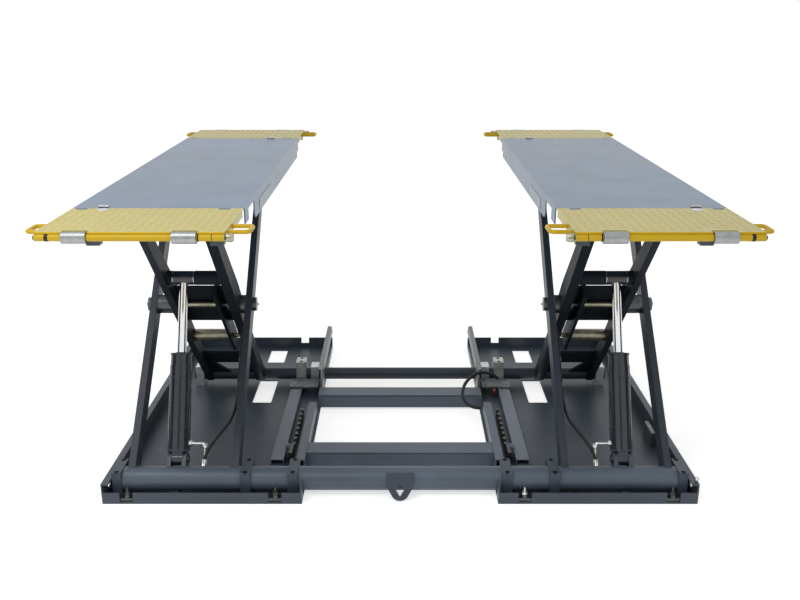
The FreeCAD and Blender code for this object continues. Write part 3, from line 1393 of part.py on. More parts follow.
def build_carriages():
    keep("lock_blocks", both(in_frame(lock_block(), rearFrame)))
    keep("slide_blocks", both(in_frame(slide_blocks(), rearFrame)))
    keep("lock_bars", both(in_frame(lock_bar(), rearFrame)))
    keep("lock_yokes", both(in_frame(yoke(), rearFrame)))
    keep_pair("lock_pawl", pawl(), rearFrame)
    keep("pawl_pins", both(in_frame(pawl_pin(), rearFrame)))


def check_and_write():
    """Stop on a failed object or a broken shape, then write each sub-part."""
    doc.recompute()
    for item in doc.Objects:
        if "Invalid" in item.State or "Error" in item.State:
            raise RuntimeError("%s (%s) failed: %s" % (item.Name, item.Label, item.State))
    for name, item in nodes.items():
        if item.Shape.isNull() or not item.Shape.isValid() or not item.Shape.Solids:
            raise RuntimeError("%s has no valid solid" % name)
    os.makedirs("parts", exist_ok=True)
    for name, item in nodes.items():
        item.Shape.exportStep("parts/%s.step" % name)
    print("%d sub-parts written" % len(nodes))


build_bases()
build_lift_frame()
build_arm_frame()
build_cylinders()
build_decks()
build_ramps()
build_carriages()
check_and_write()
print("raised %.3f lowered %.3f" % (math.degrees(raisedAngle), math.degrees(loweredAngle)))
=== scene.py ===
import bpy
import json
import math
import numpy as np
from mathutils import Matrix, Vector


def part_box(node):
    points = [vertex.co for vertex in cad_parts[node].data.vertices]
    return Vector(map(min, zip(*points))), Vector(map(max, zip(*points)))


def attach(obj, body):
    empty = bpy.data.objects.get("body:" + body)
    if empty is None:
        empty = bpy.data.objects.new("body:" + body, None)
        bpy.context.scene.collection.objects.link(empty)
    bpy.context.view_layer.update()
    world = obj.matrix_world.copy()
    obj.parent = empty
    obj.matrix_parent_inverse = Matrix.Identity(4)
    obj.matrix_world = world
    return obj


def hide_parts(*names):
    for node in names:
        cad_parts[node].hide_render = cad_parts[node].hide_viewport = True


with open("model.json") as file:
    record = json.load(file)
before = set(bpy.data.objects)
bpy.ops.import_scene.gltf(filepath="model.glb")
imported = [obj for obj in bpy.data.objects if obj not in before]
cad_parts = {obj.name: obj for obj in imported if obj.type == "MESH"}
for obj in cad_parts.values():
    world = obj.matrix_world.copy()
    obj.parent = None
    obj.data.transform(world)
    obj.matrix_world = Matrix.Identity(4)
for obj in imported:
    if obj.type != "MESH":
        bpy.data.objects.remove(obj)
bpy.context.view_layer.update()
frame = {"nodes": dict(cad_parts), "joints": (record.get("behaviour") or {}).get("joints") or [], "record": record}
print("frame loaded")

scene = bpy.context.scene
scene.view_settings.view_transform = "Standard"
sides = (("left", -1.0), ("right", 1.0))
joints = {joint["name"]: joint for joint in frame["joints"]}


def jointPlace(name):
    # Where a hinge's axis is, in metres
    return np.array(joints[name]["pos_m"], float)


# The linkage, read from the joints: tube, scissor pivot, top and bottom of the arms, foot of the cylinders
tubeAxis = jointPlace("lift")
scissorPivot = jointPlace("scissor")
topPivot = jointPlace("deck_level_left")
rearPivot = jointPlace("carriage_level")
footPivot = jointPlace("barrel_tilt_left")


# Materials, all procedural

def newMaterial(name):
    material = bpy.data.materials.new(name)
    material.use_nodes = True
    tree = material.node_tree
    shader = next(node for node in tree.nodes if node.type == "BSDF_PRINCIPLED")
    return material, tree, shader


def setInputs(tree, node, inputs):
    # Inputs by name or number: another node's output is linked, and anything else is set
    for key, value in inputs.items():
        if isinstance(value, bpy.types.NodeSocket):
            tree.links.new(value, node.inputs[key])
        else:
            node.inputs[key].default_value = value


def addNode(tree, kind, inputs=None, **settings):
    node = tree.nodes.new(kind)
    for key, value in settings.items():
        setattr(node, key, value)
    setInputs(tree, node, inputs or {})
    return node


finishValues = {
    "noiseDetail": 4.0, "noiseRoughness": 0.55, "shadeLow": 0.35, "shadeHigh": 0.65, "bevelSamples": 4,
    "flatDot": 0.985, "roundDot": 0.86, "chipDetail": 6.0, "chipRoughness": 0.7, "chipWidth": 0.06,
    "smearDetail": 3.0, "peelDetail": 2.0, "paintGloss": (-0.06, 0.08), "spangleDetail": 5.0,
    "spangleRoughness": 0.6, "grainDetail": 3.0, "metalGloss": (-0.05, 0.1),
}


def objectNoise(tree, scale, detail=finishValues["noiseDetail"], roughness=finishValues["noiseRoughness"],
                stretch=(1.0, 1.0, 1.0)):
    # Noise on Object coordinates, stretched along the axes where a finish has a direction
    place = addNode(tree, "ShaderNodeTexCoord")
    mapping = addNode(tree, "ShaderNodeMapping", {"Vector": place.outputs["Object"], "Scale": stretch})
    noise = addNode(tree, "ShaderNodeTexNoise", {
        "Vector": mapping.outputs["Vector"], "Scale": scale, "Detail": detail, "Roughness": roughness})
    return noise.outputs["Fac"]


def shadeBetween(tree, source, low, high):
    # One colour below the middle of the noise, the other above it, and a blend between
    node = addNode(tree, "ShaderNodeValToRGB", {"Fac": source})
    places = (finishValues["shadeLow"], finishValues["shadeHigh"])
    for element, place, colour in zip(node.color_ramp.elements, places, (low, high)):
        element.position = place
        element.color = (*colour, 1.0)
    return node.outputs["Color"]


def glossAround(tree, source, roughness, spread):
    # The noise moves the roughness between its two offsets
    low, high = spread
    node = addNode(tree, "ShaderNodeMapRange", {
        "Value": source, "To Min": roughness + low, "To Max": roughness + high})
    return node.outputs["Result"]


def softEdge(tree, radius):
    return addNode(tree, "ShaderNodeBevel", {"Radius": radius},
                   samples=finishValues["bevelSamples"]).outputs["Normal"]


def bumped(tree, height, distance, strength, below):
    node = addNode(tree, "ShaderNodeBump", {
        "Height": height, "Distance": distance, "Strength": strength, "Normal": below})
    return node.outputs["Normal"]


def paintMaterial(name, own):
    # Powder coat: slow shade changes, fine orange peel, and soft edges that are worn in places
    material, tree, shader = newMaterial(name)
    colour = np.array(own["colour"])
    share = own["cloudShare"]
    cloud = objectNoise(tree, own["cloudScale"])
    shade = shadeBetween(tree, cloud, colour * (1 - share), colour * (1 + share))
    # An edge is where the softened normal leaves the flat one; the worn share is edge times chip noise
    edge = softEdge(tree, own["edgeRadius"])
    flat = addNode(tree, "ShaderNodeNewGeometry").outputs["Normal"]
    dot = addNode(tree, "ShaderNodeVectorMath", {0: edge, 1: flat}, operation="DOT_PRODUCT")
    edgeMask = addNode(tree, "ShaderNodeMapRange", {
        "Value": dot.outputs["Value"], "From Min": finishValues["flatDot"],
        "From Max": finishValues["roundDot"]})
    chips = objectNoise(tree, own["chipScale"], finishValues["chipDetail"], finishValues["chipRoughness"])
    chipped = addNode(tree, "ShaderNodeMapRange", {
        "Value": chips, "From Min": own["chipFrom"],
        "From Max": own["chipFrom"] + finishValues["chipWidth"]})
    wear = addNode(tree, "ShaderNodeMath", {
        0: edgeMask.outputs["Result"], 1: chipped.outputs["Result"]}, operation="MULTIPLY")
    worn = addNode(tree, "ShaderNodeMix", {
        "B": (*own["wornColour"], 1.0), "Factor": wear.outputs["Value"], "A": shade}, data_type="RGBA")
    smear = objectNoise(tree, own["smearScale"], finishValues["smearDetail"])
    peel = objectNoise(tree, own["peelScale"], finishValues["peelDetail"])
    setInputs(tree, shader, {
        "Base Color": worn.outputs["Result"],
        "Roughness": glossAround(tree, smear, own["roughness"], finishValues["paintGloss"]),
        "Specular IOR Level": own["specular"], "Coat Weight": own["coat"],
        "Coat Roughness": own["coatRoughness"],
        "Normal": bumped(tree, peel, own["peelDepth"], own["peelStrength"], edge)})
    return material


framePaint = dict(colour=(0.056, 0.074, 0.096), cloudScale=3.0, cloudShare=0.10, edgeRadius=0.0016,
                  chipScale=60.0, chipFrom=0.60, wornColour=(0.17, 0.19, 0.21), smearScale=9.0,
                  roughness=0.42, specular=0.35, coat=0.12, coatRoughness=0.3, peelScale=420.0,
                  peelDepth=0.0004, peelStrength=0.35)
railPaint = dict(framePaint, colour=(0.105, 0.135, 0.175))
# A lighter copy of the frame paint for the torque tube and the beams: painted highlight standing in for the light
# on their tops
litTubePaint = dict(framePaint, colour=(0.100, 0.128, 0.166))
barPaint = dict(framePaint, colour=(0.145, 0.180, 0.225))
# A darker copy of the frame paint for the legs and the rear tube: painted shade for their shaded faces
shadedLegPaint = dict(framePaint, colour=(0.033, 0.045, 0.059), specular=0.22)
# A darker copy still, almost without shine, for the arms, their plates and cross tubes: painted shade
shadedArmPaint = dict(framePaint, colour=(0.018, 0.024, 0.031), specular=0.06, coat=0.0)
deckPaint = dict(framePaint, colour=(0.086, 0.156, 0.262), roughness=0.40, coat=0.42, coatRoughness=0.28)
palePaint = dict(framePaint, colour=(0.44, 0.49, 0.56), cloudShare=0.06, roughness=0.45)
redPaint = dict(framePaint, colour=(0.16, 0.010, 0.012), roughness=0.4)
yellowPaint = dict(framePaint, colour=(0.66, 0.43, 0.010), cloudShare=0.05, wornColour=(0.45, 0.36, 0.12),
                   roughness=0.40, specular=0.25, coat=0.08)
treadPaint = dict(yellowPaint, colour=(0.52, 0.43, 0.060), specular=0.5, coat=0.4)
barrelPaint = dict(framePaint, colour=(0.014, 0.021, 0.031), cloudShare=0.06, roughness=0.26,
                   specular=0.45, coat=0.4, coatRoughness=0.08, peelStrength=0.12)
hoseCover = dict(barrelPaint, colour=(0.007, 0.007, 0.008), roughness=0.6, coat=0.0)


def metalMaterial(name, own):
    # Bare or plated metal: fine brushed grain along one axis, cloudy plating and soft edges
    material, tree, shader = newMaterial(name)
    colour = np.array(own["colour"])
    spangle = objectNoise(tree, own["spangleScale"], finishValues["spangleDetail"],
                          finishValues["spangleRoughness"])
    grain = objectNoise(tree, own["grainScale"], finishValues["grainDetail"],
                        stretch=own["grainStretch"])
    edge = softEdge(tree, own["edgeRadius"])
    setInputs(tree, shader, {
        "Base Color": shadeBetween(tree, spangle, colour * own["darkShare"], colour), "Metallic": 1.0,
        "Roughness": glossAround(tree, spangle, own["roughness"], finishValues["metalGloss"]),
        "Normal": bumped(tree, grain, own["grainDepth"], own["grainStrength"], edge)})
    return material


zincPlate = dict(colour=(0.58, 0.59, 0.60), spangleScale=55.0, darkShare=0.68, roughness=0.36,
                 grainScale=300.0, grainStretch=(0.05, 1.0, 1.0), grainDepth=0.0003, grainStrength=0.25,
                 edgeRadius=0.0008)
rollerPlate = dict(zincPlate, colour=(0.36, 0.38, 0.37), darkShare=0.8, roughness=0.42)
yellowPlate = dict(zincPlate, colour=(0.44, 0.42, 0.31), darkShare=0.7, roughness=0.34)
brightPlate = dict(zincPlate, colour=(0.80, 0.81, 0.80), darkShare=0.8, roughness=0.26)
chromePlate = dict(zincPlate, colour=(0.84, 0.85, 0.87), darkShare=0.95, roughness=0.07, grainStrength=0.04)
oiledSteel = dict(zincPlate, colour=(0.13, 0.135, 0.14), darkShare=0.6, roughness=0.42)
blackOxide = dict(oiledSteel, colour=(0.030, 0.030, 0.033))
galvanised = dict(zincPlate, colour=(0.25, 0.27, 0.28), spangleScale=40.0, darkShare=0.62, roughness=0.5)
slidePlate = dict(galvanised, colour=(0.70, 0.72, 0.76), darkShare=0.8)
blockPlate = dict(galvanised, colour=(0.60, 0.62, 0.60))

materials = {
    "frame_paint": paintMaterial("frame_paint_coat", framePaint),
    "rail_paint": paintMaterial("rail_coat", railPaint),
    "tube_paint": paintMaterial("tube_coat", litTubePaint),
    "bar_paint": paintMaterial("bar_coat", barPaint),
    "black_oxide": metalMaterial("black_oxide", blackOxide),
    "leg_paint": paintMaterial("leg_coat", shadedLegPaint),
    "deck_paint": paintMaterial("deck_coat", deckPaint),
    "arm_paint": paintMaterial("arm_coat", shadedArmPaint),
    "ramp_paint": paintMaterial("ramp_coat", yellowPaint),
    "cylinder_paint": paintMaterial("cylinder_coat", barrelPaint),
    "zinc": metalMaterial("zinc_plate", zincPlate),
    "roller_zinc": metalMaterial("roller_zinc_plate", rollerPlate),
    "yellow_zinc": metalMaterial("yellow_zinc_plate", yellowPlate),
    "slide_zinc": metalMaterial("slide_zinc_plate", slidePlate),
    "rod_chrome": metalMaterial("rod_chrome_plate", chromePlate),
    "dark_steel": metalMaterial("oiled_steel", oiledSteel),
    "galvanised": metalMaterial("galvanised_steel", galvanised),
    "block_zinc": metalMaterial("lock_block_zinc", blockPlate),
    "bright_zinc": metalMaterial("bright_zinc_plate", brightPlate),
    "pale_plate": paintMaterial("pale_plate_coat", palePaint),
    "red_cap": paintMaterial("red_cap_coat", redPaint),
    "tread_paint": paintMaterial("tread_coat", treadPaint),
    "hose_rubber": paintMaterial("hose_cover", hoseCover),
}
slotOf = {part["node"]: part["material_slot"] for part in frame["record"]["subparts"]}
ownFinish = {
    "guide_angles": "galvanised", "lock_racks": "dark_steel", "lock_blocks": "block_zinc",
    "lock_yokes": "galvanised", "slide_blocks": "slide_zinc", "arm_spacers": "yellow_zinc",
    # Arm plates and cross tubes take the arms' darker copy, a painted shade
    "arm_plates": "arm_paint", "arm_cross_tubes": "arm_paint", "levelling_screws": "dark_steel",
    # The torque tube and the beams take the lighter copy, a painted highlight
    "channel_rails": "rail_paint", "lock_bars": "bar_paint", "torque_tube": "tube_paint",
    # The rear tube takes the legs' darker copy, a painted shade
    "front_beam": "tube_paint", "rear_beam": "tube_paint", "rear_tube": "leg_paint",
}
for side, _ in sides:
    ownFinish["deck_" + side] = "deck_paint"
    for which in ("outer", "inner"):
        # Arms take the darkest copy of the frame paint: painted shade
        ownFinish["%s_arm_%s" % (which, side)] = "arm_paint"
        # Legs take the darker copy of the frame paint: painted shade
        ownFinish["%s_leg_%s" % (which, side)] = "leg_paint"
    for end in ("front", "rear"):
        ownFinish["%s_ramp_panel_%s" % (end, side)] = "tread_paint"
        ownFinish["%s_ramp_rollers_%s" % (end, side)] = "roller_zinc"
for name, node in frame["nodes"].items():
    node.data.materials.clear()
    node.data.materials.append(materials[ownFinish.get(name, slotOf[name])])
print("materials made")


# Shapes: each is (points, quads, triangles), with its faces turned outwards

def turnOutwards(points, quads, tris):
    # The signed volume is the sum of a.(b x c) over all triangles; a negative one means inside out
    both = np.vstack([quads[:, [0, 1, 2]], quads[:, [0, 2, 3]], tris])
    a, b, c = points[both[:, 0]], points[both[:, 1]], points[both[:, 2]]
    if np.sum(a * np.cross(b, c)) < 0:
        return points, quads[:, ::-1], tris[:, ::-1]
    return points, quads, tris


def gridShape(rings, ringClosed=False):
    # rings[i, j] is the point at station i and step j round it.
    # The ends close with a fan, or the last ring meets the first.
    stations, around = rings.shape[:2]
    points = rings.reshape(-1, 3)
    last = stations if ringClosed else stations - 1
    i, j = np.meshgrid(np.arange(last), np.arange(around), indexing="ij")
    up, side = (i + 1) % stations, (j + 1) % around
    quads = np.stack([i * around + j, up * around + j, up * around + side, i * around + side], -1)
    quads = quads.reshape(-1, 4)
    tris = np.zeros((0, 3), int)
    if not ringClosed:
        middles = np.array([rings[0].mean(0), rings[-1].mean(0)])
        step = np.arange(around)
        after = (step + 1) % around
        first = np.stack([step, after, np.full(around, len(points))], -1)
        final = np.stack([after, step, np.full(around, len(points) + 1)], -1)
        final[:, :2] += (stations - 1) * around
        points = np.vstack([points, middles])
        tris = np.vstack([first, final])
    return turnOutwards(points, quads, tris)


def joined(shapes):
    counts = np.cumsum([0] + [len(shape[0]) for shape in shapes])
    points = np.vstack([shape[0] for shape in shapes])
    quads = np.vstack([shape[1] + start for shape, start in zip(shapes, counts)])
    tris = np.vstack([shape[2] + start for shape, start in zip(shapes, counts)])
    return points, quads, tris


def repeated(shape, places, turns=None):
    # The same shape at each place, turned about Z by each turn, as one array
    points, quads, tris = shape
    places = np.asarray(places, float)
    turns = np.zeros(len(places)) if turns is None else np.asarray(turns, float)
    c, n = np.cos(turns)[:, None], np.sin(turns)[:, None]
    x = points[None, :, 0] * c - points[None, :, 1] * n
    y = points[None, :, 0] * n + points[None, :, 1] * c
    z = np.broadcast_to(points[None, :, 2], x.shape)
    moved = np.stack([x, y, z], -1) + places[:, None, :]
    starts = np.arange(len(places))[:, None, None] * len(points)
    quads, tris = quads[None] + starts, tris[None] + starts
    return moved.reshape(-1, 3), quads.reshape(-1, 4), tris.reshape(-1, 3)


leftRight = np.array([1.0, 0.0, 0.0])
upwards = np.array([0.0, 0.0, 1.0])
steepest = 0.9


def crossDirections(axis):
    # Two directions square to the axis, from the world axis that isn't along it
    axis = np.asarray(axis, float) / np.linalg.norm(axis)
    helper = upwards if abs(axis[2]) < steepest else leftRight
    u = np.cross(helper, axis)
    u /= np.linalg.norm(u)
    return axis, u, np.cross(axis, u)


def hexagonAt(apothem, angle):
    # A hexagon's polar radius: the apothem over the cosine of the angle from the nearest face
    return apothem / np.cos(np.mod(angle, math.pi / 3) - math.pi / 6)


def turned(profile, start, axis, count=32, hexApothem=None, ringClosed=False):
    # A profile of (along, radius) turned about an axis; a hexagon caps it where an apothem is given
    axis, u, v = crossDirections(axis)
    profile = np.asarray(profile, float)
    angle = np.linspace(0, 2 * math.pi, count, endpoint=False)
    radius = np.repeat(profile[:, 1:2], count, axis=1)
    if hexApothem is not None:
        radius = np.minimum(radius, hexagonAt(hexApothem, angle)[None])
    spoke = np.cos(angle)[:, None] * u + np.sin(angle)[:, None] * v
    rings = np.asarray(start, float) + profile[:, 0, None, None] * axis + radius[:, :, None] * spoke[None]
    return gridShape(rings, ringClosed)


def band(start, axis, length, inner, outer, chamfer=0.0004, count=48):
    # A ring of rectangular section with its outer corners cut
    profile = [(0, inner), (0, outer - chamfer), (chamfer, outer), (length - chamfer, outer),
               (length, outer - chamfer), (length, inner)]
    return turned(profile, start, axis, count, ringClosed=True)


headValues = {"steps": 36, "cut": 0.1, "sink": 0.45, "corner": 1.16, "shoulder": 0.82, "crown": 0.98,
              "flat": 0.55}
threadValues = {"steps": 20, "perPitch": 4, "depth": 0.28}
beadValues = {"steps": 7, "least": 8, "spacing": 0.5, "drop": 1.5, "low": 0.86, "swell": 0.16, "taper": 0.3}


def socketHead(start, axis, radius, height, apothem):
    # A cap head: straight side, cut edge, and a hexagon sunk in its end
    own = headValues
    cut = radius * own["cut"]
    axis, u, v = crossDirections(axis)
    angle = np.linspace(0, 2 * math.pi, own["steps"], endpoint=False)
    spoke = np.cos(angle)[:, None] * u + np.sin(angle)[:, None] * v
    side, edge = np.full(own["steps"], radius), np.full(own["steps"], radius - cut)
    hexagon = hexagonAt(apothem, angle)
    radii = np.stack([side, side, edge, hexagon, hexagon])
    along = np.array([0, height - cut, height, height, height * own["sink"]])
    rings = np.asarray(start, float) + along[:, None, None] * axis + radii[:, :, None] * spoke[None]
    return gridShape(rings)


def hexHead(start, axis, apothem, height):
    # A hexagon whose outer corners are cut round
    own = headValues
    wide = apothem * own["corner"]
    profile = [(0, wide), (height * own["shoulder"], wide), (height, apothem * own["crown"]),
               (height, apothem * own["flat"])]
    return turned(profile, start, axis, own["steps"], hexApothem=apothem)


def thread(start, axis, length, radius, pitch):
    # The radius rises and falls once a pitch
    own = threadValues
    along = np.linspace(0, length, int(length / pitch * own["perPitch"]) + 1)
    radii = radius - pitch * own["depth"] * (0.5 + 0.5 * np.cos(along / pitch * 2 * math.pi))
    return turned(np.stack([along, radii], -1), start, axis, own["steps"])


def tubeAlong(path, radii, up, count=16):
    # A circle carried along a path, square to it, with its own radius at each point
    path = np.asarray(path, float)
    tangent = np.gradient(path, axis=0)
    tangent /= np.linalg.norm(tangent, axis=1)[:, None]
    side = np.cross(tangent, np.asarray(up, float))
    side /= np.linalg.norm(side, axis=1)[:, None]
    rise = np.cross(side, tangent)
    angle = np.linspace(0, 2 * math.pi, count, endpoint=False)
    radii = np.broadcast_to(radii, (len(path),))
    c, n = np.cos(angle)[None, :, None], np.sin(angle)[None, :, None]
    ring = c * side[:, None] + n * rise[:, None]
    return gridShape(path[:, None] + radii[:, None, None] * ring)


def bead(path, radius, up):
    # A weld: the tube's radius swells once per drop and tapers at its ends
    own = beadValues
    path = np.asarray(path, float)
    lengths = np.concatenate([[0], np.cumsum(np.linalg.norm(np.diff(path, axis=0), axis=1))])
    total = lengths[-1]
    count = max(own["least"], int(total / (radius * own["spacing"])))
    at = np.linspace(0, total, count)
    line = np.stack([np.interp(at, lengths, path[:, k]) for k in range(3)], -1)
    drops = own["low"] + own["swell"] * np.abs(np.sin(at / (radius * own["drop"]) * math.pi))
    taper = np.clip(np.minimum(at, total - at) / radius, own["taper"], 1.0)
    return tubeAlong(line, radius * drops * taper, up, own["steps"])


def ringPath(centre, radius, low=0.0, high=2 * math.pi, count=40):
    # Angles from the horizontal towards +Z, in the plane square to X
    angle = np.linspace(low, high, count)
    centre = np.asarray(centre, float)
    return centre + radius * np.stack([np.zeros(count), np.cos(angle), np.sin(angle)], -1)


def roundedSlab(low, high, corner, axis=2, chamfer=0.0006, steps=5):
    # A rounded rectangle carried through its thickness, a little smaller at both faces
    low, high = np.asarray(low, float), np.asarray(high, float)
    others = [k for k in range(3) if k != axis]
    half = (high - low)[others] / 2
    quarter = np.linspace(0, math.pi / 2, steps)
    angle = np.concatenate([quarter + k * math.pi / 2 for k in range(4)])
    signs = np.array([(1, 1), (-1, 1), (-1, -1), (1, -1)], float).repeat(steps, axis=0)
    depth = (high - low)[axis]
    stations = np.array([(0, chamfer), (chamfer, 0), (depth - chamfer, 0), (depth, chamfer)])
    rings = np.zeros((4, len(angle), 3))
    for index, (along, inset) in enumerate(stations):
        flat = signs * (half - corner) + (corner - inset) * np.stack([np.cos(angle), np.sin(angle)], -1)
        rings[index][:, others] = flat + (low + high)[others] / 2
        rings[index][:, axis] = low[axis] + along
    return gridShape(rings)


def makePiece(name, shapes, body, material, replaced=(), sharp=40.0):
    points, quads, tris = joined(shapes)
    mesh = bpy.data.meshes.new(name)
    mesh.from_pydata(points, [], quads.tolist() + tris.tolist())
    mesh.validate()
    mesh.shade_smooth()
    mesh.set_sharp_from_angle(angle=math.radians(sharp))
    mesh.materials.append(materials[material])
    item = bpy.data.objects.new(name, mesh)
    scene.collection.objects.link(item)
    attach(item, body)
    if replaced:
        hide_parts(*replaced)


# Directions of the linkage at rest
def direction(start, end):
    way = np.array([0.0, end[1] - start[1], end[2] - start[2]])
    return way / np.linalg.norm(way)


legWay = direction(tubeAxis, scissorPivot)
legOut = np.array([0.0, -legWay[2], legWay[1]])
armWay = direction(topPivot, rearPivot)
armOut = np.array([0.0, -armWay[2], armWay[1]])
rodWay = np.array(joints["rod_stroke_left"]["axis"], float)
armSpan = np.linalg.norm((rearPivot - topPivot)[1:])
legAngle = math.atan2(legWay[2], legWay[1])


def onLeg(x, along, out=0.0):
    return np.array([x, tubeAxis[1], tubeAxis[2]]) + along * legWay + out * legOut


def onArm(x, along, out=0.0):
    return np.array([x, topPivot[1], topPivot[2]]) + along * armWay + out * armOut


def sideOf(name):
    low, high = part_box(name)
    return low[0], high[0]


# Bases: screws, levelling screws, welds
baseValues = {
    "blockPlaces": ((0.936, 0.030), (0.512, 0.034), (0.355, 0.034)), "blockAhead": 0.044, "blockBehind": 0.058,
    "blockTop": 0.092, "screwInset": 0.009, "screwSink": 0.007, "screwRadius": 0.0085, "screwHeight": 0.0062,
    "screwHex": 0.0038, "levelPlaces": (0.897, 0.410), "levelIn": 0.0173, "levelTop": 0.028, "stemRadius": 0.0045,
    "stemLength": 0.024, "nutApothem": 0.009, "nutHeight": 0.007, "pitch": 0.0015, "weld": 0.0022,
    "sheet": 0.006, "railWidth": 0.030, "railWelds": (0.05, 0.35, 0.65, 0.93), "railWeldLength": 0.035,
}


def dressBases():
    own = baseValues
    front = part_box("base_pan_left")[0][1]
    rows = (tubeAxis[1] - own["blockAhead"] + own["screwInset"],
            tubeAxis[1] + own["blockBehind"] - own["screwInset"])
    sink = own["blockTop"] - own["screwSink"]
    screws, welds = [], []

    def seam(x, start, end):
        # A straight weld on the sheet
        welds.append(bead([(x, start, own["sheet"]), (x, end, own["sheet"])], own["weld"], upwards))

    for side, sign in sides:
        for x, width in own["blockPlaces"]:
            for y in rows:
                screws.append(socketHead((sign * x, y, sink), upwards, own["screwRadius"],
                                         own["screwHeight"], own["screwHex"]))
            for edge in (-width / 2, width / 2):
                seam(sign * x + edge, tubeAxis[1] - own["blockAhead"], tubeAxis[1] + own["blockBehind"])
        for x in own["levelPlaces"]:
            foot = (sign * x, front + own["levelIn"], own["levelTop"])
            bright = sign > 0 and x == min(own["levelPlaces"])
            screw = [thread(foot, upwards, own["stemLength"], own["stemRadius"], own["pitch"]),
                     hexHead(foot, upwards, own["nutApothem"], own["nutHeight"])]
            makePiece("level_stem_%s_%d" % (side, round(x * 1000)), screw, "base",
                      "bright_zinc" if bright else "dark_steel")
    makePiece("block_screws", screws, "base", "black_oxide", ("saddle_bolts",))
    railLow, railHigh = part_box("channel_rails")
    beamLow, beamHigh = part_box("rear_beam")
    for _, sign in sides:
        for x in (railHigh[0], railHigh[0] - own["railWidth"]):
            for share in own["railWelds"]:
                y = railLow[1] + share * (railHigh[1] - railLow[1])
                seam(sign * x, y, y + own["railWeldLength"])
        seam(sign * beamHigh[0], beamLow[1], beamHigh[1])
    makePiece("base_welds", welds, "base", "frame_paint")


dressBases()
print("bases dressed")


# The lift frame: welds round the torque tube, greased pivots, hose clips and unions, a sleeve on each shaft
frameValues = {
    "weld": 0.0024, "tipWeld": 1.1, "bossWeld": 0.8, "legHalf": 0.030, "lugHalf": 0.024,
    "lugPlaces": (0.7247, 0.7753), "lugWidth": 0.014, "bossRadius": 0.034, "headReach": 0.013,
    "nipple": ((0, 0.006), (0.0018, 0.006), (0.0022, 0.0035), (0.006, 0.003), (0.008, 0.0038), (0.0095, 0.0015)),
    "washer": (0.0012, 0.013, 0.018), "clipAlong": (0.33, 0.43, 0.52), "clipWidth": 0.012, "hoseRadius": 0.005,
    "clipInside": 0.0003, "clipOutside": 0.0016,
    "shaft": {"from": 0.666, "length": 0.110, "inner": 0.0111, "outer": 0.0122},
    "ferrule": {"x": 0.662, "along": 0.0284, "length": 0.0300, "radius": 0.0102, "out": 0.0030,
                "cut": 0.003, "tip": 0.8},
}


def dressLiftFrame():
    own = frameValues
    tubeLow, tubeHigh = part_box("torque_tube")
    radius = (tubeHigh[2] - tubeLow[2]) / 2
    welds, nipples, clips, rings = [], [], [], []
    for side, sign in sides:
        joinsAt = [(face, own["legHalf"]) for which in ("outer", "inner")
                   for face in sideOf("%s_leg_%s" % (which, side))]
        for x in own["lugPlaces"]:
            joinsAt += [(sign * (x - own["lugWidth"] / 2), own["lugHalf"]),
                        (sign * (x + own["lugWidth"] / 2), own["lugHalf"])]
        for x, half in joinsAt:
            # A plate's edge meets the round tube at the angle whose sine is half its depth over the radius
            reach = math.asin(half / radius)
            centre = (x, tubeAxis[1], tubeAxis[2])
            welds.append(bead(ringPath(centre, radius, legAngle - reach, legAngle + reach),
                              own["weld"], leftRight))
        for which in ("outer", "inner"):
            low, high = sideOf("%s_leg_%s" % (which, side))
            for out in (-1, 1):
                across = legAngle + out * math.asin(own["legHalf"] / radius)
                spot = np.array([0.0, tubeAxis[1] + radius * math.cos(across),
                                 tubeAxis[2] + radius * math.sin(across)])
                welds.append(bead([spot + [low, 0, 0], spot + [high, 0, 0]],
                                  own["weld"] * own["tipWeld"], upwards))
            outside = (max if (sign > 0) == (which == "outer") else min)((low, high))
            away = np.array([1.0 if outside == max(low, high) else -1.0, 0.0, 0.0])
            inside = low + high - outside
            centre = onLeg(inside, armSpan / 2)
            welds.append(bead(ringPath(centre, own["bossRadius"]),
                              own["weld"] * own["bossWeld"], leftRight))
            headFace = onLeg(outside, armSpan / 2) + away * own["headReach"]
            nipples.append(turned(own["nipple"], headFace, away, 20))
            rings.append(band(headFace, away, *own["washer"]))
        legFar = max(abs(x) for x in sideOf("inner_leg_" + side))
        for along in own["clipAlong"]:
            middle = onLeg(sign * (legFar + own["hoseRadius"]), along)
            clips.append(band(middle - legWay * own["clipWidth"] / 2, legWay, own["clipWidth"],
                              own["hoseRadius"] + own["clipInside"],
                              own["hoseRadius"] + own["clipOutside"]))
        shaft = own["shaft"]
        start = onLeg(sign * shaft["from"], armSpan / 2)
        sleeve = band(start, leftRight * sign, shaft["length"], shaft["inner"], shaft["outer"])
        makePiece("shaft_sleeve_" + side, [sleeve], "lift_frame", "yellow_zinc")
    makePiece("frame_welds", welds, "lift_frame", "frame_paint")
    makePiece("pivot_nipples", nipples + rings, "lift_frame", "zinc")
    makePiece("hose_clips", clips, "lift_frame", "dark_steel")
    ferrule = own["ferrule"]
    profile = [(0, ferrule["radius"]), (ferrule["length"], ferrule["radius"]),
               (ferrule["length"] + ferrule["cut"], ferrule["radius"] * ferrule["tip"])]
    places = [onLeg(sign * ferrule["x"], ferrule["along"], ferrule["out"]) for _, sign in sides]
    makePiece("hose_ferrules", [turned(profile, place, legWay) for place in places], "lift_frame",
              "bright_zinc")


dressLiftFrame()
print("lift frame dressed")


# Arms: welds at the rear tube and the cross tubes
armValues = {"weld": 0.0023, "rearRadius": 0.025, "crossRadius": 0.025, "pinAlong": 0.450}


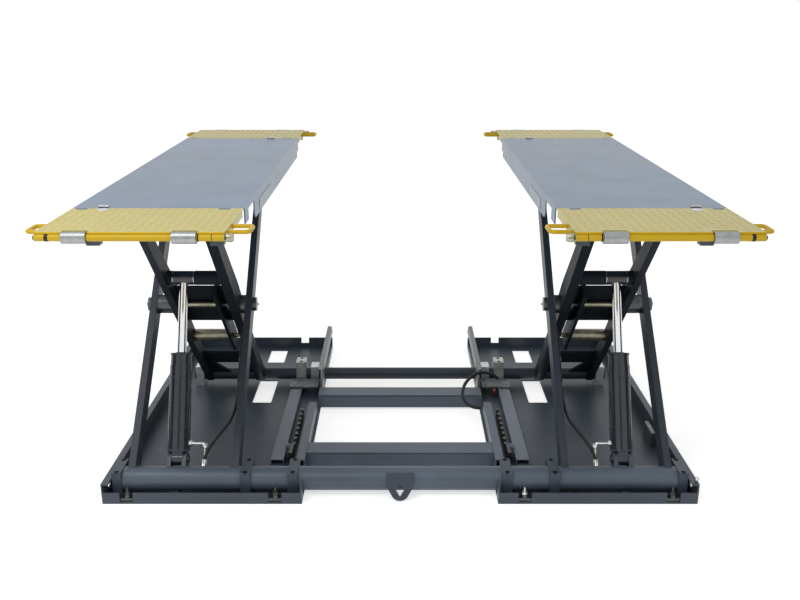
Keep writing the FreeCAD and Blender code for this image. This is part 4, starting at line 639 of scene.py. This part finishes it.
def dressArms():
    own = armValues
    welds = []
    for side, sign in sides:
        for which in ("outer", "inner"):
            for x in sideOf("%s_arm_%s" % (which, side)):
                centre = (x, rearPivot[1], rearPivot[2])
                welds.append(bead(ringPath(centre, own["rearRadius"]), own["weld"], leftRight))
        inner = max(abs(x) for x in sideOf("inner_arm_" + side))
        outer = min(abs(x) for x in sideOf("outer_arm_" + side))
        for x in (inner, outer):
            centre = onArm(sign * x, own["pinAlong"])
            welds.append(bead(ringPath(centre, own["crossRadius"]), own["weld"], leftRight))
    # The arm welds take the arms' painted-shade paint
    makePiece("arm_welds", welds, "arm_frame", "arm_paint")


dressArms()
print("arms dressed")


# Cylinders: bands and bolts on the barrel, weld at its foot, wiper, port with its elbow, painted rod boss
cylinderValues = {
    "x": 0.750, "radius": 0.037, "bands": (0.097, 0.268), "bandWidth": 0.010, "bandInside": 0.001,
    "bandOutside": 0.0011, "bandCut": 0.0008, "foot": 0.030, "top": 0.357, "glandWidth": 0.006,
    "glandInside": 0.006, "glandOutside": 0.0006, "bolts": 6, "boltCircle": 0.028,
    "bolt": ((0, 0.0028), (0.001, 0.0028), (0.0014, 0.002)), "weld": 0.0026, "weldSteps": 90,
    "wiperRadius": 0.0205, "wiperWidth": 0.003, "rodRadius": 0.0161, "bossRadius": 0.0246,
    "bossHalf": 0.0372, "bossBore": 0.012, "bossCut": 0.002, "portAlong": 0.052, "portSink": 0.002,
    "pipeRadius": 0.0048, "bend": 0.012, "ferruleX": 0.662, "ferruleLow": 0.096, "ferruleRadius": 0.0088,
    "ferruleLength": 0.030, "knurlPitch": 0.003, "knurlDepth": 0.0006, "knurlSteps": 61,
    "hexApothem": 0.0092, "portHex": 0.010, "hexHeight": 0.011, "hexRise": 0.002,
}


def dressCylinders():
    own = cylinderValues
    _, u, v = crossDirections(rodWay)
    barrel, width, gland = own["radius"], own["bandWidth"], own["glandWidth"]
    for side, sign in sides:
        foot = np.array([sign * own["x"], footPivot[1], footPivot[2]])
        top = foot + own["top"] * rodWay
        bands = [band(foot + along * rodWay, rodWay, width, barrel - own["bandInside"],
                      barrel + own["bandOutside"], own["bandCut"]) for along in own["bands"]]
        bands.append(band(foot + (own["top"] - gland) * rodWay, rodWay, gland,
                          barrel - own["glandInside"], barrel + own["glandOutside"]))
        for step in range(own["bolts"]):
            turn = step * 2 * math.pi / own["bolts"]
            spoke = math.cos(turn) * u + math.sin(turn) * v
            bands.append(turned(own["bolt"], top + spoke * own["boltCircle"], rodWay, 14))
        makePiece("barrel_bands_" + side, bands, "barrel_" + side, "cylinder_paint")
        angle = np.linspace(0, 2 * math.pi, own["weldSteps"])[:, None]
        path = foot + own["foot"] * rodWay + barrel * (np.cos(angle) * u + np.sin(angle) * v)
        makePiece("barrel_weld_" + side, [bead(path, own["weld"], rodWay)], "barrel_" + side,
                  "frame_paint")
        wiper = band(top, rodWay, own["wiperWidth"], own["rodRadius"], own["wiperRadius"])
        makePiece("rod_wiper_" + side, [wiper], "barrel_" + side, "hose_rubber")
        # The elbow leaves the port inwards, turns down a quarter circle and ends in a knurled union
        inwards = np.array([-sign, 0.0, 0.0])
        port = foot + own["portAlong"] * rodWay + inwards * (barrel - own["portSink"])
        corner = np.array([sign * own["ferruleX"], port[1], port[2]])
        reach = own["bend"]
        bend = np.linspace(0, math.pi / 2, 10)[:, None]
        arc = corner - inwards * reach - upwards * reach + reach * (np.sin(bend) * inwards
                                                                    + np.cos(bend) * upwards)
        end = corner - upwards * (port[2] - own["ferruleLow"] - own["ferruleLength"])
        pipe = np.vstack([port[None], arc, end[None]])
        fittings = [tubeAlong(pipe, own["pipeRadius"], (0.0, 1.0, 0.0)),
                    hexHead(port, inwards, own["hexApothem"], own["portHex"]),
                    hexHead(end + upwards * own["hexRise"], upwards, own["hexApothem"],
                            own["hexHeight"])]
        along = np.linspace(0, own["ferruleLength"], own["knurlSteps"])
        waves = np.abs(np.sin(along / own["knurlPitch"] * math.pi))
        knurl = own["ferruleRadius"] - own["knurlDepth"] * waves
        knurl[0] = knurl[-1] = own["pipeRadius"]
        fittings.append(turned(np.stack([along, knurl], -1), end, -upwards, 24))
        makePiece("port_elbow_" + side, fittings, "barrel_" + side, "bright_zinc")
        pin = onArm(sign * own["x"], armValues["pinAlong"])
        half, cut = own["bossHalf"], own["bossCut"]
        bore, boss = own["bossBore"], own["bossRadius"]
        profile = [(0, bore), (0, boss - cut), (cut, boss), (2 * half - cut, boss), (2 * half, boss - cut),
                   (2 * half, bore)]
        collar = turned(profile, pin - leftRight * half, leftRight, 40, ringClosed=True)
        makePiece("rod_boss_" + side, [collar], "rod_" + side, "cylinder_paint")


dressCylinders()
print("cylinders dressed")


# Decks: latches at the ramps, a bare plate on the inner skirt
deckValues = {
    "inner": 0.451, "outer": 0.943, "end": 0.7225, "latchFront": 0.089, "latchRear": 0.119, "latchIn": 0.003,
    "latchSize": (0.022, 0.012, 0.0045), "latchCorner": 0.004, "leverRadius": 0.004, "leverWide": 1.3,
    "leverShift": 0.35, "leverRise": 0.8, "keeperY": -0.7445, "keeperShift": 0.004,
    "keeper": ((0, 0.017), (0.0012, 0.01598)), "plateStart": -0.4325, "plateLength": 0.250, "plateLow": 0.930,
    "plateHigh": 0.968, "plateSheet": 0.0016, "plateCorner": 0.008, "plateCut": 0.0004,
    "rivetIn": (0.012, 0.009), "rivet": ((0, 0.003), (0.0006, 0.0027), (0.0012, 0.001)),
}


def dressDecks():
    own = deckValues
    width, depth, height = own["latchSize"]
    inner, outer, sheet = own["inner"], own["outer"], own["plateSheet"]
    start, end = own["plateStart"], own["plateStart"] + own["plateLength"]
    for side, sign in sides:
        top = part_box("deck_" + side)[1][2]
        latches, rivets = [], []
        for x, way in ((outer - own["latchFront"], -1), (inner + own["latchRear"], 1)):
            centre = np.array([sign * x, way * (own["end"] - depth / 2 - own["latchIn"]), top])
            low = centre - [width / 2, depth / 2, 0]
            latches.append(roundedSlab(low, low + [width, depth, height], own["latchCorner"]))
            wide = width * own["leverWide"]
            lever = centre + [-wide / 2, way * depth * own["leverShift"], height * own["leverRise"]]
            latches.append(turned([(0, own["leverRadius"]), (wide, own["leverRadius"])], lever,
                                  leftRight, 20))
        makePiece("deck_latches_" + side, latches, "deck_" + side, "zinc")
        spot = (sign * (outer - own["latchFront"] - own["keeperShift"]), own["keeperY"], top)
        makePiece("latch_keeper_" + side, [turned(own["keeper"], spot, upwards, 30)],
                  "front_ramp_" + side, "slide_zinc")
        near, far = sorted((sign * inner, sign * (inner - sheet)))
        plate = roundedSlab((near, start, own["plateLow"]), (far, end, own["plateHigh"]),
                            own["plateCorner"], axis=0, chamfer=own["plateCut"])
        makePiece("side_plate_" + side, [plate], "deck_" + side, "pale_plate")
        inY, inZ = own["rivetIn"]
        for y in (start + inY, end - inY):
            for z in (own["plateLow"] + inZ, own["plateHigh"] - inZ):
                rivets.append(turned(own["rivet"], (sign * (inner - sheet), y, z), (-sign, 0, 0), 18))
        makePiece("plate_rivets_" + side, rivets, "deck_" + side, "zinc")


dressDecks()
print("decks dressed")


# Ramps: raised studs, rolled front rim, dark stop blocks, spacer rings and end caps
rampValues = {
    "inner": 0.451, "outer": 0.943, "rodY": 1.0125, "hingeY": 0.7245, "top": 1.0, "studPitch": 0.0245,
    "studLength": 0.0115, "studWidth": 0.0036, "studHeight": 0.0007, "rimRadius": 0.0030,
    "rollers": (0.556, 0.840), "rollerHalf": 0.0335, "knuckles": (0.502, 0.913), "knuckleHalf": 0.0165,
    "blocks": (0.476, 0.800), "blockHalf": 0.0185, "blockDepth": 0.0266, "blockHeight": 0.0362, "rodZ": 0.985,
    "darkRings": ((0.906, 0.010), (0.518, 0.004), (0.4838, 0.0018)), "rodRadius": 0.007, "sleeve": 0.0101,
    "ringCut": 0.0002, "cap": ((0, 0.0068), (0.003, 0.0066), (0.0042, 0.005)),
    "nut": {"radius": 0.0115, "length": 0.018, "gap": 0.0042, "cut": 0.75},
    "studSteps": 10, "studPoint": 0.45, "studSink": 0.0005, "studTop": (0.72, 0.5, 1), "studStart": 0.016,
    "studEnd": 0.010, "clear": 0.012, "clearDepth": 0.030, "rimEnd": (0.4, 0.85), "rimOut": 0.0006,
    "rimDrop": 0.0026, "blockBack": 0.0169, "blockDrop": 0.0051, "blockCorner": 0.005,
}


def studShape():
    # A lens outline, narrowed towards its points, sunk in the plate and drawn in at its top
    own = rampValues
    around = np.linspace(0, 2 * math.pi, own["studSteps"], endpoint=False)
    rise = np.sin(around)
    belly = 1 - own["studPoint"] * (1 - np.abs(rise))
    lens = np.stack([own["studLength"] * np.cos(around), own["studWidth"] * rise * belly, 0 * around], -1)
    return gridShape(np.stack([lens - [0, 0, own["studSink"]], lens,
                               lens * own["studTop"] + [0, 0, own["studHeight"]]]))


def studPlaces():
    # A chequer of places, left free round the rollers and the knuckles
    own = rampValues
    start, end, pitch, clear = own["studStart"], own["studEnd"], own["studPitch"], own["clear"]
    xs = np.arange(own["inner"] + start, own["outer"] - end, pitch)
    ys = np.arange(own["hingeY"] + start, own["rodY"] - end, pitch)
    gridX, gridY = np.meshgrid(xs, ys, indexing="ij")
    odd = np.add.outer(np.arange(len(xs)), np.arange(len(ys))) % 2
    keep = np.ones(gridX.shape, bool)
    for x in own["rollers"]:
        keep &= ~((abs(gridX - x) < own["rollerHalf"] + clear)
                  & (gridY > own["rodY"] - own["clearDepth"]))
    for x in own["knuckles"]:
        keep &= ~((abs(gridX - x) < own["knuckleHalf"] + clear)
                  & (gridY < own["hingeY"] + own["clearDepth"]))
    return gridX[keep], gridY[keep], np.where(odd > 0, math.pi / 4, -math.pi / 4)[keep]


def dressRamps():
    own = rampValues
    stud = studShape()
    studX, studY, turns = studPlaces()
    inner, outer, rodY, top, nut = (own[key] for key in ("inner", "outer", "rodY", "top", "nut"))
    radius = own["rimRadius"]
    tip, neck = (radius * share for share in own["rimEnd"])
    edges = [inner]
    for x in own["rollers"]:
        edges += [x - own["rollerHalf"], x + own["rollerHalf"]]
    edges.append(outer)
    for end, ahead in (("front", -1.0), ("rear", 1.0)):
        for side, sign in sides:
            body = "%s_ramp_%s" % (end, side)
            outwards = (sign, 0, 0)
            places = np.stack([sign * studX, ahead * studY, np.full(len(studX), top)], -1)
            makePiece("%s_studs_%s" % (end, side), [repeated(stud, places, turns)], body,
                      "tread_paint", sharp=60.0)
            rims = []
            for start, stop in zip(edges[::2], edges[1::2]):
                span = stop - start
                profile = [(0, tip), (tip, neck), (radius, radius), (span - radius, radius), (span - tip, neck),
                           (span, tip)]
                spot = (sign * start, ahead * (rodY + own["rimOut"]), top - own["rimDrop"])
                rims.append(turned(profile, spot, outwards, 16))
            makePiece("%s_rim_%s" % (end, side), rims, body, "ramp_paint")
            blocks = []
            for x in own["blocks"]:
                near = rodY - own["blockBack"]
                low, high = sorted((ahead * near, ahead * (near - own["blockDepth"])))
                blockTop = top - own["blockDrop"]
                blocks.append(roundedSlab(
                    (sign * x - own["blockHalf"], low, blockTop - own["blockHeight"]),
                    (sign * x + own["blockHalf"], high, blockTop), own["blockCorner"], axis=1))
            makePiece("%s_stops_%s" % (end, side), blocks, body, "frame_paint")
            darks = [band((sign * x, ahead * rodY, own["rodZ"]), outwards, wide, own["rodRadius"],
                          own["sleeve"], own["ringCut"], 28) for x, wide in own["darkRings"]]
            darks += [turned(own["cap"], (sign * x, ahead * rodY, own["rodZ"]), (way, 0, 0), 24)
                      for x, way in ((outer, sign), (inner, -sign))]
            makePiece("%s_rod_caps_%s" % (end, side), darks, body, "hose_rubber")
            profile = [(0, nut["radius"]), (nut["length"] * nut["cut"], nut["radius"]),
                       (nut["length"], nut["radius"] * nut["cut"])]
            spot = (sign * (inner - nut["gap"]), ahead * rodY, own["rodZ"])
            makePiece("%s_rod_nut_%s" % (end, side), [turned(profile, spot, (-sign, 0, 0), 32)], body,
                      "yellow_zinc")


dressRamps()
print("ramps dressed")


# Lock carriages: screws in the blocks and the bare end of each lock bar
lockValues = {
    "blockX": 0.422, "blockTop": 0.112, "screwSpread": 0.019, "screwRadius": 0.0078, "screwSink": 0.0005,
    "screwHeight": 0.0012, "screwHex": 0.0042, "barX": 0.433, "barWidth": 0.0468, "barLow": 0.0098,
    "barTop": 0.0362, "capLength": 0.040, "capCorner": 0.002, "yokeFront": 0.130, "valveX": 0.392,
    "valveIn": 0.030, "valveZ": 0.030, "valve": ((0, 0.004), (0.001, 0.010), (0.020, 0.010), (0.022, 0.006)),
    "hosePoints": 97, "hoseReach": 1.6,
    "hoseRadius": 0.0065, "hosePlaces": (
        (0.404, -0.175, 0.098), (0.384, -0.180, 0.118), (0.350, -0.190, 0.134), (0.318, -0.200, 0.136),
        (0.288, -0.222, 0.128), (0.262, -0.262, 0.118), (0.248, -0.310, 0.108), (0.246, -0.352, 0.096),
        (0.256, -0.386, 0.086), (0.278, -0.402, 0.078), (0.296, -0.405, 0.075), (0.3145, -0.404, 0.074)),
}


def dressCarriages():
    own = lockValues
    half = own["barWidth"] / 2
    front = rearPivot[1] - own["yokeFront"] - own["capLength"]
    screws, caps = [], []
    for _, sign in sides:
        for step in (-1, 1):
            spot = (sign * own["blockX"], rearPivot[1] + step * own["screwSpread"],
                    own["blockTop"] - own["screwSink"])
            screws.append(socketHead(spot, upwards, own["screwRadius"], own["screwHeight"],
                                     own["screwHex"]))
        x = sign * own["barX"]
        caps.append(roundedSlab((x - half, front, own["barLow"]),
                                (x + half, front + own["capLength"], own["barTop"]),
                                own["capCorner"], axis=1))
    spot = (own["valveX"], front + own["valveIn"], own["valveZ"])
    valve = turned(own["valve"], spot, (0, -1, 0), 24)
    makePiece("lock_screws", screws, "lock_carriage", "black_oxide")
    makePiece("bar_ends", caps, "lock_carriage", "galvanised")
    makePiece("lock_valves", [valve], "lock_carriage", "red_cap")
    # The lock's own hose: each point is the mean of the places near it,
    # weighted by the square of the reach less the distance in steps
    knots = np.array(own["hosePlaces"]) + [0.0, rearPivot[1], 0.0]
    at = np.linspace(0, len(knots) - 1, own["hosePoints"])
    weights = np.clip(own["hoseReach"] - np.abs(at[:, None] - np.arange(len(knots))), 0, None) ** 2
    line = weights @ knots / weights.sum(1)[:, None]
    makePiece("lock_hose", [tubeAlong(line, own["hoseRadius"], upwards, 14)], "lock_carriage",
              "hose_rubber")


dressCarriages()
print("carriages dressed")


# Punched box on the right base, its holes drawn as black discs of painted shade, and a latch pin with its knob at
# the right corner
boxValues = {
    "corner": 0.004, "cut": 0.0015, "start": 0.010, "end": 0.005, "holePitch": 0.012,
    "hole": ((-0.0004, 0.0032), (0.00025, 0.0032), (0.00025, 0.0005)), "knobPlace": (0.972, -0.655, 0.082),
    "knobRadius": 0.0085, "knobEnd": 0.12, "stem": ((0, 0.003), (0.018, 0.003)), "stemDrop": 0.016,
}


def dressBox():
    own = boxValues
    low, high = (np.array(corner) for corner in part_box("blank_plate"))
    shell = roundedSlab(low, high, own["corner"], axis=0, chamfer=own["cut"])
    makePiece("punched_box", [shell], "base", "galvanised", ("blank_plate",))
    ys, zs = (np.arange(low[k] + own["start"], high[k] - own["end"], own["holePitch"]) for k in (1, 2))
    gridY, gridZ = np.meshgrid(ys, zs, indexing="ij")
    holeShadeDiscs = []
    # Each hole is a black disc standing just proud of the face: painted shade where the box's dark inside would
    # show
    for face, way in ((low[0], -1.0), (high[0], 1.0)):
        shadeDisc = turned(own["hole"], (0, 0, 0), (way, 0, 0), 12)
        places = np.stack([np.full(gridY.size, face), gridY.ravel(), gridZ.ravel()], -1)
        holeShadeDiscs.append(repeated(shadeDisc, places))
    makePiece("box_holes", holeShadeDiscs, "base", "hose_rubber")
    knob = np.array(own["knobPlace"])
    limit = math.pi / 2 - own["knobEnd"]
    angle = np.linspace(-limit, limit, 15)
    ball = turned(own["knobRadius"] * np.stack([np.sin(angle), np.cos(angle)], -1), knob, upwards, 28)
    stem = turned(own["stem"], knob - [0, 0, own["stemDrop"]], upwards, 16)
    makePiece("corner_knob", [ball, stem], "base", "bright_zinc")


dressBox()
print("box dressed")


# Stage: floor, light and camera
white = (1.0, 1.0, 1.0, 1.0)
stageValues = {
    "floorSize": 30.0, "floorColour": (0.90, 0.90, 0.90, 1.0), "floorRoughness": 0.9, "floorGlow": 0.60,
    "cameraPlace": (0.0, -3.2505, 1.5483), "pitch": 18.12, "focalPixels": 893.0, "widthPixels": 800.0,
    "sensor": 36.0, "ambient": 0.58, "cardColour": (0.01, 0.012, 0.015, 1.0), "cardLow": 0.01,
    "cards": (("card_left", (-4.2, -1.2), (2.6, 3.2)), ("card_right", (4.2, -1.2), (2.6, 3.2)),
              ("card_front", (0.0, -5.2), (1.6, 3.0))),
    "lamps": (("key", (-1.6, -2.6, 4.2), (0.0, 0.0, 0.4), 3.0, 150.0),
              ("fill", (3.2, -1.2, 2.6), (0.0, 0.2, 0.4), 2.5, 55.0)),
}


def flatSheet(name, corners, material):
    mesh = bpy.data.meshes.new(name)
    mesh.from_pydata([tuple(corner) for corner in corners], [], [(0, 1, 2, 3)])
    mesh.materials.append(material)
    sheet = bpy.data.objects.new(name, mesh)
    scene.collection.objects.link(sheet)
    return sheet


def combined(tree, operation, first, second):
    node = addNode(tree, "ShaderNodeMath", {0: first, 1: second}, operation=operation)
    return node.outputs["Value"]


def seenBy(tree, *rays):
    # One where the ray is of any of these kinds
    path = addNode(tree, "ShaderNodeLightPath")
    total = path.outputs[rays[0]]
    for ray in rays[1:]:
        total = combined(tree, "MAXIMUM", total, path.outputs[ray])
    return total


def makeFloor():
    material, tree, shader = newMaterial("floor_paper")
    setInputs(tree, shader, {"Base Color": stageValues["floorColour"], "Roughness": stageValues["floorRoughness"],
                             "Specular IOR Level": 0.0})
    # Seen by the camera or in a reflection, the floor is lifted to white and keeps its shadows
    output = next(node for node in tree.nodes if node.type == "OUTPUT_MATERIAL")
    seen = seenBy(tree, "Is Camera Ray", "Is Glossy Ray")
    amount = combined(tree, "MULTIPLY", seen, stageValues["floorGlow"])
    glow = addNode(tree, "ShaderNodeEmission", {"Color": white, "Strength": amount})
    both = addNode(tree, "ShaderNodeAddShader", {0: shader.outputs["BSDF"], 1: glow.outputs["Emission"]})
    setInputs(tree, output, {"Surface": both.outputs["Shader"]})
    half = stageValues["floorSize"]
    floor = flatSheet("floor", [(-half, -half, 0), (half, -half, 0), (half, half, 0), (-half, half, 0)], material)


def makeCard(name, place, size):
    # A dark upright card that only reflections see: it gives round paint and chrome their dark stripes
    x, y = place
    width, height = size
    out = np.array([x, y, 0.0]) / math.hypot(x, y)
    along = np.array([-out[1], out[0], 0.0]) * width / 2
    low, rise = np.array([x, y, stageValues["cardLow"]]), upwards * height
    material, tree, shader = newMaterial(name + "_black")
    setInputs(tree, shader, {"Base Color": stageValues["cardColour"], "Roughness": 1.0, "Specular IOR Level": 0.0})
    card = flatSheet(name, [low - along, low + along, low + along + rise, low - along + rise], material)
    for ray in ("camera", "diffuse", "shadow", "transmission"):
        setattr(card, "visible_" + ray, False)


def areaLamp(name, place, target, size, power):
    # A soft lamp at a place, facing a target
    data = bpy.data.lights.new(name, "AREA")
    data.shape = "DISK"
    data.size = size
    data.energy = power
    lamp = bpy.data.objects.new(name, data)
    scene.collection.objects.link(lamp)
    gaze = np.array(target, float) - np.array(place, float)
    lamp.location = place
    yaw = math.atan2(gaze[0], -gaze[1])
    tip = math.atan2(math.hypot(gaze[0], gaze[1]), -gaze[2])
    lamp.rotation_euler = (tip, 0.0, yaw)


def makeWorld():
    # White where the camera or a reflection sees it, a quieter grey as light
    world = bpy.data.worlds.new("studio")
    scene.world = world
    world.use_nodes = True
    tree = world.node_tree
    background = next(node for node in tree.nodes if node.type == "BACKGROUND")
    seen = seenBy(tree, "Is Camera Ray", "Is Glossy Ray", "Is Transmission Ray")
    strength = addNode(tree, "ShaderNodeMapRange", {"Value": seen, "To Min": stageValues["ambient"], "To Max": 1.0})
    setInputs(tree, background, {"Color": white, "Strength": strength.outputs["Result"]})


def makeCamera():
    data = bpy.data.cameras.new("view")
    camera = bpy.data.objects.new("view", data)
    scene.collection.objects.link(camera)
    data.sensor_width = stageValues["sensor"]
    data.lens = stageValues["focalPixels"] / stageValues["widthPixels"] * data.sensor_width
    camera.location = stageValues["cameraPlace"]
    camera.rotation_euler = (math.radians(90.0 - stageValues["pitch"]), 0.0, 0.0)
    scene.camera = camera


makeFloor()
makeWorld()
makeCamera()
for card in stageValues["cards"]:
    makeCard(*card)
for lamp in stageValues["lamps"]:
    areaLamp(*lamp)
print("stage set")
